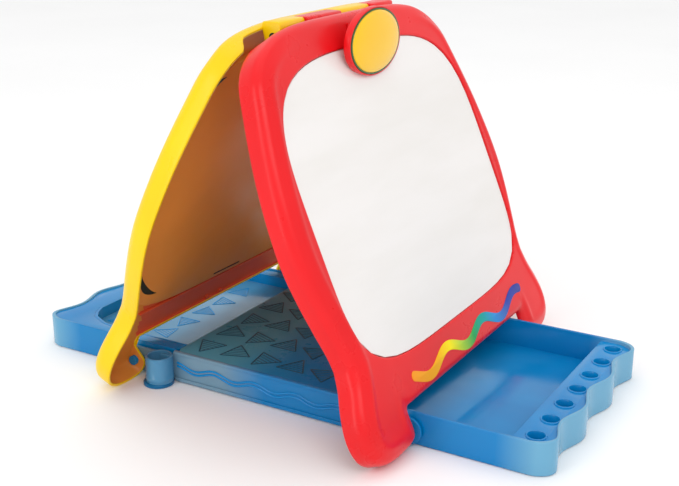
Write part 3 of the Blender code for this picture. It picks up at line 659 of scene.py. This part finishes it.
CORNER_SLOT_X, CORNER_SLOT_LEVELS, CORNER_SLOT_ARC = 92, (112, 232), 40
CORNER_SLOT_WIDTH, CORNER_SLOT_START, CORNER_SLOT_STOP = 5.6, 14, 74
MIDDLE_SLOT = [(-19, 60.8), (19, 60.8), (19, 62.2), (-19, 62.2)]


def build_pan_slots(panel):
    """The crescent slots at the board's corners and the thin slot under its middle, as thin dark plates of
    painted shade on the pan's back.
    """
    flat = Matrix.Rotation(math.pi / 2, 4, "X")
    back = PAN - WALL - 0.15
    cuts = []
    for side in (-1, 1):
        for level, down, turn in zip(CORNER_SLOT_LEVELS, (270, 90), (side, -side)):
            start, stop = down + turn * CORNER_SLOT_START, down + turn * CORNER_SLOT_STOP
            center = (side * CORNER_SLOT_X, level)
            cuts.append(crescent(center, CORNER_SLOT_ARC, start, stop, CORNER_SLOT_WIDTH))
    cuts.append(MIDDLE_SLOT)
    place = shift(0, 0, -PANEL_LENGTH)
    meshes = [moved(plate_mesh(cut, back, back + 0.3, 0.02), flat, place) for cut in cuts]
    slots = moved(joined(meshes), panel_place(panel))
    piece(f"{panel.name}_board_slots", slots, panel.body, PAINTED_SLOT_SHADE)


TOOTH_PLACES, TOOTH_HALF, TOOTH_LEVELS, TOOTH_RISE = (-8, 12), 2.2, (29.0, 33.0), 2.2
LEDGE_HALF, LEDGE_LEVELS, LEDGE_RISE = 112, (52.0, 53.8), 2.4
SUNK = 0.6                  # how far a raised detail starts below the surface it stands on


def build_ribs(panel, finish):
    """The ledge inside, under the pan, and two small teeth on the lower edge."""
    back = -(FACE - WALL)
    low, high = TOOTH_LEVELS
    meshes = [box_mesh((x - TOOTH_HALF, back - SUNK, low), (x + TOOTH_HALF, back + TOOTH_RISE, high), 0.4)
              for x in TOOTH_PLACES]
    low, high = LEDGE_LEVELS
    meshes.append(box_mesh((-LEDGE_HALF, back - SUNK, low), (LEDGE_HALF, back + LEDGE_RISE, high), 0.5))
    mesh = moved(joined(meshes), shift(0, 0, -PANEL_LENGTH), panel_place(panel))
    piece(f"{panel.name}_band_ribs", mesh, panel.body, finish)


# ---------------------------------------------------------------- the printed wave

WAVE_START, WAVE_STOP = -92.0, 117.0
WAVE_MIDDLE, WAVE_RISE, WAVE_PERIOD, WAVE_CREST = 40.6, 4.8, 66.5, 34.0
WAVE_LIFT_FROM = 75.0
WAVE_HALF_WIDTH, WAVE_THICK = 3.9, 0.3


def wave_height(x):
    lift = max(0.0, x - WAVE_LIFT_FROM) / (WAVE_STOP - WAVE_LIFT_FROM)
    return WAVE_MIDDLE + WAVE_RISE * (math.cos(2 * math.pi * (x - WAVE_CREST) / WAVE_PERIOD) + lift ** 2)


def build_wave():
    upper, lower = [], []
    start, stop = WAVE_START + WAVE_HALF_WIDTH, WAVE_STOP - WAVE_HALF_WIDTH
    for x in np.linspace(start, stop, 160):
        slope = wave_height(x + 0.5) - wave_height(x - 0.5)
        length = math.hypot(1.0, slope)
        across, along = WAVE_HALF_WIDTH / length, WAVE_HALF_WIDTH * slope / length
        upper.append((x - along, wave_height(x) + across))
        lower.append((x + along, wave_height(x) - across))
    ends = []
    for x, turn in ((stop, 0.0), (start, math.pi)):
        lean = math.atan(wave_height(x + 0.5) - wave_height(x - 0.5)) + turn
        ends.append([(x + WAVE_HALF_WIDTH * math.cos(lean + a),
                      wave_height(x) + WAVE_HALF_WIDTH * math.sin(lean + a))
                     for a in np.radians(np.arange(-75, 76, 15))])
    outline = lower + ends[0] + upper[::-1] + ends[1]
    low = FACE + 0.02
    mesh = moved(plate_mesh(outline, low, low + WAVE_THICK, 0.1), Matrix.Rotation(math.pi / 2, 4, "X"),
                 shift(0, 0, -PANEL_LENGTH), panel_place(FRONT))
    piece("rainbow_wave", mesh, "front_panel", rainbow_material(WAVE_START, WAVE_STOP),
          ["squiggle_label"])


# ---------------------------------------------------------------- paper clips

Clip = namedtuple("Clip", "panel body badge_level badge_height cap_radius badge_rise")
FRONT_CLIP = Clip(FRONT, "front_clip", 283.0, 31.2, 26.0, 5.0)
REAR_CLIP = Clip(REAR, "rear_clip", 280.4, 27.8, 17.0, 2.0)
CAP_STRETCH = 1.54
CAP_LIP, CAP_SEAT, CAP_CEILING, CAP_BACK = 0.9, -0.3, -2.0, -4.6
CAP_EDGE, CAP_WALL = 1.1, 2.0
BOARD_FRONT = 19.2
JAW_CLEARANCE = 0.5
PIN_LEVEL, PIN_HEIGHT = 292.0, 25.8
LUG_X, LUG_HALF_THICK, LUG_HALF_WIDE = 12.4, 1.3, 2.8
# From a plate: its X to Z, its Y to -Y and its thickness to X
LUG_TURN = axes((0, 0, 1), (0, -1, 0), (1, 0, 0))
CLIP_SIDES = 128


def facing_out(mesh, clip):
    """Stands a turned mesh upright at the badge's place, stretched to its oval."""
    upright = Matrix.Rotation(math.pi / 2 + LEAN, 4, "X")
    place = shift(0, -clip.badge_height, clip.badge_level - PANEL_LENGTH)
    return moved(mesh, place @ upright @ Matrix.Diagonal((CAP_STRETCH, 1, 1, 1)))


def cut_flat(mesh, height):
    """Cuts away what lies behind a height over the rim plane, in the panel's frame, and closes the cut."""
    bm = bmesh.new()
    bm.from_mesh(mesh)
    cut = bmesh.ops.bisect_plane(bm, geom=bm.verts[:] + bm.edges[:] + bm.faces[:],
                                 plane_co=(0, -height * MM, 0), plane_no=(0, 1, 0), clear_outer=True)
    edges = [part for part in cut["geom_cut"] if isinstance(part, bmesh.types.BMEdge)]
    bmesh.ops.edgenet_fill(bm, edges=edges)
    return to_mesh(bm)


def clip_cap(clip):
    """The oval cap, with its seat for the badge and cut flat where it meets the board."""
    radius = clip.cap_radius
    seat, inner = radius - CAP_EDGE, radius - CAP_WALL
    profile = [(0, CAP_SEAT), (seat, CAP_SEAT), (seat, CAP_LIP - 0.3), (seat + 0.2, CAP_LIP),
               (radius - 0.45, CAP_LIP), (radius - 0.12, CAP_LIP - 0.15), (radius, CAP_LIP - 0.5),
               (radius, CAP_BACK + 0.5), (radius - 0.15, CAP_BACK + 0.1), (radius - 0.5, CAP_BACK),
               (inner + 0.4, CAP_BACK), (inner, CAP_BACK + 0.4), (inner, CAP_CEILING), (0, CAP_CEILING)]
    return cut_flat(facing_out(turned_mesh(profile, CLIP_SIDES), clip), BOARD_FRONT + JAW_CLEARANCE)


def clip_lugs(clip):
    """Two lugs that reach from the cap down over the pin."""
    reach = clip.badge_height + (PIN_LEVEL - clip.badge_level) * math.tan(LEAN) - 1.4
    wide, low = LUG_HALF_WIDE, PIN_HEIGHT
    side = [(-wide, low), (-2.0, low - 2.0), (0, low - 2.4), (2.0, low - 2.0), (wide, low), (wide, reach),
            (-wide, reach)]
    place = shift(0, 0, PIN_LEVEL - PANEL_LENGTH) @ LUG_TURN
    return [moved(plate_mesh(side, x - LUG_HALF_THICK, x + LUG_HALF_THICK, 0.3), place)
            for x in (-LUG_X, LUG_X)]


def build_badge(clip, badge_finish, ring_finish):
    """The domed badge in the cap, and the thin ring round it."""
    edge = clip.cap_radius - CAP_EDGE - 0.2
    ring = edge - 1.1
    base = CAP_LIP - 0.1
    steps = 18
    dome = [(0, base + clip.badge_rise)]
    for k in range(1, steps + 1):
        a = math.radians(90 * k / steps)
        dome.append((ring * math.sin(a), base + clip.badge_rise * math.cos(a)))
    dome += [(ring, CAP_SEAT + 0.1), (0, CAP_SEAT + 0.1)]
    badge = moved(facing_out(turned_mesh(dome, CLIP_SIDES), clip), panel_place(clip.panel))
    piece(f"{clip.panel.name}_badge_dome", badge, clip.body, badge_finish,
          [f"{clip.panel.name}_clip_badge"])
    rim = [(ring + 0.05, CAP_SEAT + 0.2), (ring + 0.05, base + 0.45), (ring + 0.5, base + 0.65),
           (edge, base + 0.4), (edge, CAP_SEAT + 0.2)]
    rim_mesh = moved(facing_out(turned_mesh(rim, CLIP_SIDES), clip), panel_place(clip.panel))
    piece(f"{clip.panel.name}_badge_rim", rim_mesh, clip.body, ring_finish)


def build_clip(clip, cap_finish, badge_finish, ring_finish):
    lever = moved(joined([clip_cap(clip)] + clip_lugs(clip)), panel_place(clip.panel))
    piece(f"{clip.panel.name}_clip_cap", lever, clip.body, cap_finish,
          [f"{clip.panel.name}_clip_lever"], smooth=35)
    build_badge(clip, badge_finish, ring_finish)


# ---------------------------------------------------------------- dock

DOCK_HALF_X, DOCK_HALF_Y, DOCK_WALL = 104.8, 87.0, 2.6
DOCK_BOTTOM = 1.2
POST_X, POST_Y, POST_RADIUS, POST_TOP = 113.5, 95.5, 11.2, 25.0
EAR_RADIUS = 10.6
POST_SIDES = 72
PAD_X = 88
PEG_RADIUS, PEG_LENGTH = 4.0, 10.0
DOCK_LIP_END = DOCK_HALF_Y - 1
RIDGE_LEVELS, RIDGE_RISE, RIDGE_PERIOD, RIDGE_RADIUS, RIDGE_END = (12.4, 15.4), 2.1, 38.0, 0.95, 84
# From a plate: its X to Y, its Y to Z and its thickness to X
ALONG_X = axes((0, 1, 0), (0, 0, 1), (1, 0, 0))


def dock_side_outline():
    outline = [(PIVOT_Y + EAR_RADIUS * math.cos(a), PIVOT_Z + EAR_RADIUS * math.sin(a))
               for a in np.radians(np.arange(-90, 91, 7.5))]
    outline += [(DOCK_HALF_Y + 5, PIVOT_Z + EAR_RADIUS), (DOCK_HALF_Y + 2.2, PIVOT_Z + EAR_RADIUS + 0.8),
                (DOCK_HALF_Y + 0.9, DOCK_TOP - 1.2), (DOCK_HALF_Y, DOCK_TOP)]
    return outline + [(-y, z) for y, z in reversed(outline)]


def dock_side(side):
    """One side wall, with the lips along its foot and its top."""
    outer = side * DOCK_HALF_X
    low, high = sorted((outer, side * (DOCK_HALF_X - DOCK_WALL)))
    meshes = [moved(plate_mesh(dock_side_outline(), low, high, 0.5), ALONG_X)]
    for reach, bottom, top, bevel in ((0.9, 1.3, 4.4, 0.35), (0.7, DOCK_TOP - 2.6, DOCK_TOP - 0.2, 0.3)):
        low, high = sorted((outer, outer + side * reach))
        meshes.append(box_mesh((low, -DOCK_LIP_END, bottom), (high, DOCK_LIP_END, top), bevel))
    return joined(meshes)


def dock_waves(side):
    """The double wavy ridge along a side wall."""
    meshes = []
    for level in RIDGE_LEVELS:
        line = [(side * DOCK_HALF_X, y, level + RIDGE_RISE * math.sin(2 * math.pi * y / RIDGE_PERIOD))
                for y in np.linspace(-RIDGE_END, RIDGE_END, 141)]
        meshes.append(tube_mesh(line, RIDGE_RADIUS, 10))
    return joined(meshes)


def post_profile():
    inside = POST_RADIUS - 2.2
    return [(inside, DOCK_BOTTOM + 3), (inside, POST_TOP - 0.5), (inside + 0.5, POST_TOP),
            (POST_RADIUS - 0.7, POST_TOP), (POST_RADIUS, POST_TOP - 0.7), (POST_RADIUS, 8.2),
            (POST_RADIUS + 0.4, 7.6), (POST_RADIUS + 0.4, 5.6), (POST_RADIUS, 5.0), (POST_RADIUS, 3.2),
            (2.0, 3.2), (2.0, DOCK_BOTTOM + 3)]


def dock_piece(name, mesh, finish, stands_for="dock_housing"):
    piece(name, mesh, "dock", finish, [stands_for])


def build_dock_side(name, side):
    """A side of the dock: wall, ridge, post with flange and web, and the peg that the rear panel turns on."""
    dock_piece(f"dock_side_{name}", dock_side(side), DOCK_SIDE_SHADE_BLUE)
    dock_piece(f"dock_wave_{name}", dock_waves(side), BLUE)
    flange = [(0, 0.05), (POST_RADIUS + 0.7, 0.05), (POST_RADIUS + 1.3, 0.6), (POST_RADIUS + 1.3, 2.6),
              (POST_RADIUS + 0.5, 3.4), (0, 3.4)]
    flange_mesh = moved(turned_mesh(flange, POST_SIDES), shift(side * (POST_X + 0.5), POST_Y + 1.0, 0))
    dock_piece(f"dock_post_foot_{name}", flange_mesh, DEEP_BLUE)
    post = moved(turned_mesh(post_profile(), POST_SIDES), shift(side * POST_X, POST_Y, 0))
    dock_piece(f"dock_post_{name}", post, PALE_BLUE)
    low, high = sorted((side * (DOCK_HALF_X - 0.5), side * (POST_X - 6)))
    web = box_mesh((low, POST_Y - 7.5, 1.4), (high, POST_Y + 4, POST_TOP - 2), 0.6)
    dock_piece(f"dock_web_{name}", web, PALE_BLUE)
    peg = [(0, 0.3), (PEG_RADIUS - 0.6, 0.3), (PEG_RADIUS, 0.9), (PEG_RADIUS, PEG_LENGTH - 0.6),
           (PEG_RADIUS - 0.6, PEG_LENGTH), (0, PEG_LENGTH)]
    turn = Matrix.Rotation(side * math.pi / 2, 4, "Y")
    place = shift(side * (DOCK_HALF_X - DOCK_WALL - 0.3), PIVOT_Y, PIVOT_Z)
    dock_piece(f"pivot_peg_{name}", moved(turned_mesh(peg, 48), turn, place), BLUE, f"pivot_pin_{name}")


def build_dock():
    end = DOCK_HALF_X - 0.5
    floor = box_mesh((-end, -DOCK_HALF_Y, DOCK_BOTTOM), (end, DOCK_HALF_Y, 3.2), 0.5)
    pads = [box_mesh((x - 9, -84, 0.02), (x + 9, -68, 1.9), 0.6) for x in (-PAD_X, PAD_X)]
    dock_piece("dock_floor", joined([floor] + pads), BLUE)
    build_dock_side("left", -1)
    build_dock_side("right", 1)


def rounded_rectangle(half_x, half_y, radius, steps=10):
    outline = []
    for quarter, (sx, sy) in enumerate(((1, 1), (-1, 1), (-1, -1), (1, -1))):
        for k in range(steps + 1):
            a = math.pi / 2 * (quarter + k / steps)
            outline.append((sx * (half_x - radius) + radius * math.cos(a),
                            sy * (half_y - radius) + radius * math.sin(a)))
    return outline


def ridge(a, b, top, half_width=0.55, rise=0.35):
    """A thin raised line on a flat top."""
    (ax, ay), (bx, by) = a, b
    length = math.hypot(bx - ax, by - ay)
    nx, ny = -(by - ay) / length * half_width, (bx - ax) / length * half_width
    return plate_mesh([(ax + nx, ay + ny), (ax - nx, ay - ny), (bx - nx, by - ny), (bx + nx, by + ny)],
                      top - 0.3, top + rise, 0.12)


HATCH_SHARES = (0.25, 0.4, 0.55, 0.7, 0.85)         # how far along two sides each hatch line lies


def triangle_field(half_x, low_y, high_y, pitch, top):
    """Rows of moulded triangles, each crossed by hatch lines, turned this way and that."""
    meshes = []
    rows = round((high_y - low_y) / pitch)
    for row in range(rows):
        y = low_y + (high_y - low_y) * (row + 0.5) / rows
        columns = int(2 * half_x // (pitch * 1.15))
        for column in range(columns):
            x = -half_x + 2 * half_x * (column + 0.5) / columns
            turn = math.pi * ((row + column) % 2) + 0.35 * ((row * 2 + column) % 3 - 1)
            corner = [(x + pitch * 0.5 * math.cos(turn + k * 2 * math.pi / 3),
                       y + pitch * 0.5 * math.sin(turn + k * 2 * math.pi / 3)) for k in range(3)]
            for a, b in zip(corner, corner[1:] + corner[:1]):
                meshes.append(ridge(a, b, top))
            for share in HATCH_SHARES:
                a = tuple(p + (q - p) * share for p, q in zip(corner[0], corner[1]))
                b = tuple(p + (q - p) * share for p, q in zip(corner[0], corner[2]))
                meshes.append(ridge(a, b, top, 0.32, 0.25))
    return joined(meshes)


def build_deck():
    half_x, half_y = DECK_HIGH[0] - 0.1, DECK_HIGH[1] - 0.1
    top = DECK_HIGH[2] - 0.4            # so that the raised lines stay below the CAD deck's top
    plate = plate_mesh(rounded_rectangle(half_x, half_y, 5.0), DECK_LOW[2], top, 0.5)
    dock_piece("deck_plate", plate, DECK_SHADED_BLUE, "dock_deck")
    pattern = triangle_field(half_x - 5, -half_y + 4, half_y - 3, 28.0, top)
    dock_piece("deck_triangles", pattern, DECK_LINES, "dock_deck")


# ---------------------------------------------------------------- trays

TRAY_START, TRAY_END, TRAY_SHOULDER = 5.0, 230.0, 88.0
TRAY_UNDER, TRAY_BOTTOM, TRAY_TAIL_TOP, TRAY_TOP = 0.6, 3.6, 22.8, 26.6
TRAY_WALL = 2.4
LOBE_DEPTH, LOBE_PITCH = 3.5, 62.0
CORNER_RADIUS = 16.0
TRAY_FOOT_X, TRAY_FOOT_START, TRAY_FOOT_END = 94.5, 188, 198
WELL_END, LEDGE_TOP = 202.0, 23.6
RECESS_HALF, RECESS_FLOOR, RECESS_UNDER = 88, 15.4, 13.0
FIT = 0.3                   # how far one tray piece reaches into the next
SOCKET_RADIUS, SOCKET_PITCH, SOCKET_Y, SOCKET_WALL = 6.2, 28.5, 216.0, 1.6


def tray_end(x):
    wave = LOBE_DEPTH * math.cos(2 * math.pi * (x - LOBE_PITCH / 2) / LOBE_PITCH)
    past = max(0.0, abs(x) - (TRAY_HALF - CORNER_RADIUS))
    corner = CORNER_RADIUS - math.sqrt(max(0.0, CORNER_RADIUS ** 2 - past ** 2))
    return TRAY_END + wave - corner


def tray_outline(inset, start, steps=120):
    half = TRAY_HALF - inset
    outline = [(half, start)]
    for k in range(steps + 1):
        t = math.sin(math.pi / 2 * (1 - 2 * k / steps))
        outline.append((half * t, tray_end(TRAY_HALF * t) - inset))
    outline.append((-half, start))
    return outline


def tray_piece(tray, name, mesh, finish=BLUE):
    if tray == "front_tray":
        moved(mesh, Matrix.Rotation(math.pi, 4, "Z"))
    piece(f"{tray}_{name}", mesh, tray, finish, [tray])


def build_tray_outside(tray):
    """The wavy wall past the shoulder, the shallow tail inside the dock, and the two feet."""
    outer, inner = tray_outline(0.05, TRAY_SHOULDER), tray_outline(TRAY_WALL, TRAY_SHOULDER)
    wall = plate_mesh(outer + inner[::-1], TRAY_UNDER, TRAY_TOP, 0.7)
    tray_piece(tray, "wall", wall, TRAY_WALL_SHADE_BLUE)
    half, inside = TRAY_HALF - 0.1, TRAY_HALF - TRAY_WALL
    tail = [(-half, TRAY_SHOULDER + 1), (-half, TRAY_START), (half, TRAY_START), (half, TRAY_SHOULDER + 1),
            (inside, TRAY_SHOULDER + 1), (inside, TRAY_START + TRAY_WALL), (-inside, TRAY_START + TRAY_WALL),
            (-inside, TRAY_SHOULDER + 1)]
    tray_piece(tray, "tail", plate_mesh(tail, TRAY_BOTTOM, TRAY_TAIL_TOP, 0.5))
    feet = [box_mesh((x - 5, TRAY_FOOT_START, 0.02), (x + 5, TRAY_FOOT_END, TRAY_UNDER + 1), 0.25)
            for x in (-TRAY_FOOT_X, TRAY_FOOT_X)]
    tray_piece(tray, "feet", joined(feet))


def circle(x, y, radius, sides=40):
    turn = [2 * math.pi * k / sides for k in range(sides)]
    return [(x + radius * math.cos(a), y + radius * math.sin(a)) for a in turn]


def build_front_tray():
    tray = "front_tray"
    build_tray_outside(tray)
    inside = TRAY_HALF - TRAY_WALL + FIT
    tail_floor = box_mesh((-inside, TRAY_START + 1, TRAY_BOTTOM), (inside, TRAY_SHOULDER + 3, 6.0), 0.4)
    floor = box_mesh((-inside, TRAY_SHOULDER + 0.2, TRAY_UNDER), (inside, WELL_END + TRAY_WALL, 3.0), 0.4)
    tray_piece(tray, "well_floor", joined([tail_floor, floor]))
    end_wall = box_mesh((-inside, WELL_END, TRAY_UNDER), (inside, WELL_END + TRAY_WALL, LEDGE_TOP - FIT), 0.5)
    tray_piece(tray, "well_end", end_wall)
    places = [k * SOCKET_PITCH for k in range(-3, 4)]
    ledge = tray_outline(TRAY_WALL - FIT, WELL_END - FIT)
    holes = [circle(x, SOCKET_Y, SOCKET_RADIUS + 0.4) for x in places]
    tray_piece(tray, "ledge", plate_mesh(ledge, LEDGE_TOP - 2.4, LEDGE_TOP, 0.5, holes))
    socket = [(0, 4.8), (SOCKET_RADIUS, 4.8), (SOCKET_RADIUS, LEDGE_TOP + 0.3),
              (SOCKET_RADIUS + 0.35, LEDGE_TOP + 0.8), (SOCKET_RADIUS + 1.1, LEDGE_TOP + 0.8),
              (SOCKET_RADIUS + SOCKET_WALL, LEDGE_TOP + 0.3), (SOCKET_RADIUS + SOCKET_WALL, 3.0), (0, 3.0)]
    sockets = [moved(turned_mesh(socket, 40), shift(x, SOCKET_Y, 0)) for x in places]
    tray_piece(tray, "sockets", joined(sockets))


def build_rear_tray():
    tray = "rear_tray"
    build_tray_outside(tray)
    right = [(RECESS_HALF, TRAY_SHOULDER), (RECESS_HALF, 168), (86, 180), (78, 196), (70, 202), (60, 206)]
    recess = right + [(-x, y) for x, y in reversed(right)]
    border = tray_outline(TRAY_WALL - FIT, TRAY_SHOULDER)
    tray_piece(tray, "border", plate_mesh(border + recess[::-1], TRAY_TOP - 3.6, TRAY_TOP - 1.2, 0.6))
    inner = [(x * 0.975, y - 2.0 if y > TRAY_SHOULDER else y) for x, y in recess]
    tray_piece(tray, "recess_wall", plate_mesh(recess + inner[::-1], RECESS_UNDER, TRAY_TOP - 1.2, 0.5))
    inside = TRAY_HALF - TRAY_WALL + FIT
    floor = [(inside, TRAY_START + 1), (inside, TRAY_SHOULDER), (RECESS_HALF, TRAY_SHOULDER + 0.2)]
    floor += right[1:]
    floor += [(-x, y) for x, y in reversed(floor)]
    tray_piece(tray, "recess_floor", plate_mesh(floor, RECESS_UNDER, RECESS_FLOOR, 0.4), PALE_BLUE)
    pattern = moved(triangle_field(70, 0, 76, 24.0, RECESS_FLOOR), shift(0, 122, 0))
    tray_piece(tray, "triangles", pattern)


# ---------------------------------------------------------------- finishes on the frame's own pieces

def repaint(node, finish):
    mesh = frame["nodes"][node].data
    mesh.materials.clear()
    mesh.materials.append(finish)


def paint_frame():
    repaint("whiteboard", WHITE_BOARD)
    repaint("chalkboard", CHALK_BOARD)
    repaint("hinge_rod", STEEL)
    for panel, finish in ((FRONT, RED), (REAR, YELLOW)):
        repaint(f"{panel.name}_clip_bracket", finish)
        for part in ("pin", "spring", "screw_1", "screw_2"):
            repaint(f"{panel.name}_clip_{part}", STEEL)


# ---------------------------------------------------------------- floor, light and camera

def add_floor():
    bm = bmesh.new()
    bmesh.ops.create_grid(bm, x_segments=1, y_segments=1, size=12.0)
    floor = bpy.data.objects.new("floor", to_mesh(bm))
    bpy.context.scene.collection.objects.link(floor)
    made, tree, shader = new_material("pale_floor")
    tint = ramp(tree, noise(tree, 3.0), [(0.3, (0.96, 0.96, 0.96)), (0.7, (0.98, 0.98, 0.98))])
    tree.links.new(tint, shader.inputs["Base Color"])
    shader.inputs["Roughness"].default_value = 0.9
    floor.data.materials.append(made)


def add_area(name, place, target, size, power):
    light = bpy.data.lights.new(name, "AREA")
    light.shape = "RECTANGLE"
    light.size, light.size_y = size
    light.energy = power
    obj = bpy.data.objects.new(name, light)
    obj.location = place
    obj.rotation_euler = (Vector(target) - Vector(place)).to_track_quat("-Z", "Y").to_euler()
    bpy.context.scene.collection.objects.link(obj)


def add_light():
    world = bpy.data.worlds.new("studio")
    world.use_nodes = True
    background = world.node_tree.nodes["Background"]
    background.inputs["Color"].default_value = (1.0, 1.0, 1.0, 1.0)
    background.inputs["Strength"].default_value = 0.92
    bpy.context.scene.world = world
    bpy.context.scene.view_settings.view_transform = "Standard"
    middle = (0.0, 0.0, 0.15)
    add_area("key", (-1.3, -1.3, 1.7), middle, (1.2, 1.2), 10.0)
    add_area("side", (-1.8, 0.5, 0.8), middle, (0.5, 1.6), 6.0)
    add_area("top", (0.3, 0.2, 2.2), middle, (1.8, 1.8), 5.0)


def add_camera():
    camera = bpy.data.objects.new("camera", bpy.data.cameras.new("camera"))
    camera.data.sensor_width = 36.0
    camera.data.lens = 59.91
    camera.location = (-0.7602, -0.4546, 0.400)
    camera.rotation_mode = "QUATERNION"
    camera.rotation_quaternion = Vector((0.8171, 0.4813, -0.3173)).to_track_quat("-Z", "Y")
    bpy.context.scene.collection.objects.link(camera)
    bpy.context.scene.camera = camera


add_camera()
add_light()
add_floor()
# The red shell's inside and ribs get the darker red as painted shade.
build_shell(FRONT, RED, (RED_INSIDE_PAINTED_SHADE, RED_INSIDE_PAINTED_SHADE))
build_ribs(FRONT, RED_INSIDE_PAINTED_SHADE)
# The yellow shell's inside and ribs get painted shade, with painted red reflection on the band.
build_shell(REAR, YELLOW, (YELLOW_INSIDE_PAINTED_SHADE, YELLOW_BAND_SHADE_RED_REFLECTION))
build_ribs(REAR, YELLOW_BAND_SHADE_RED_REFLECTION)
build_rod_ends()
build_pan_slots(FRONT)
build_pan_slots(REAR)
build_wave()
build_clip(FRONT_CLIP, RED, DOME, DARK_GREEN)
build_clip(REAR_CLIP, YELLOW, RED, YELLOW)
build_dock()
build_deck()
build_front_tray()
build_rear_tray()
paint_frame()
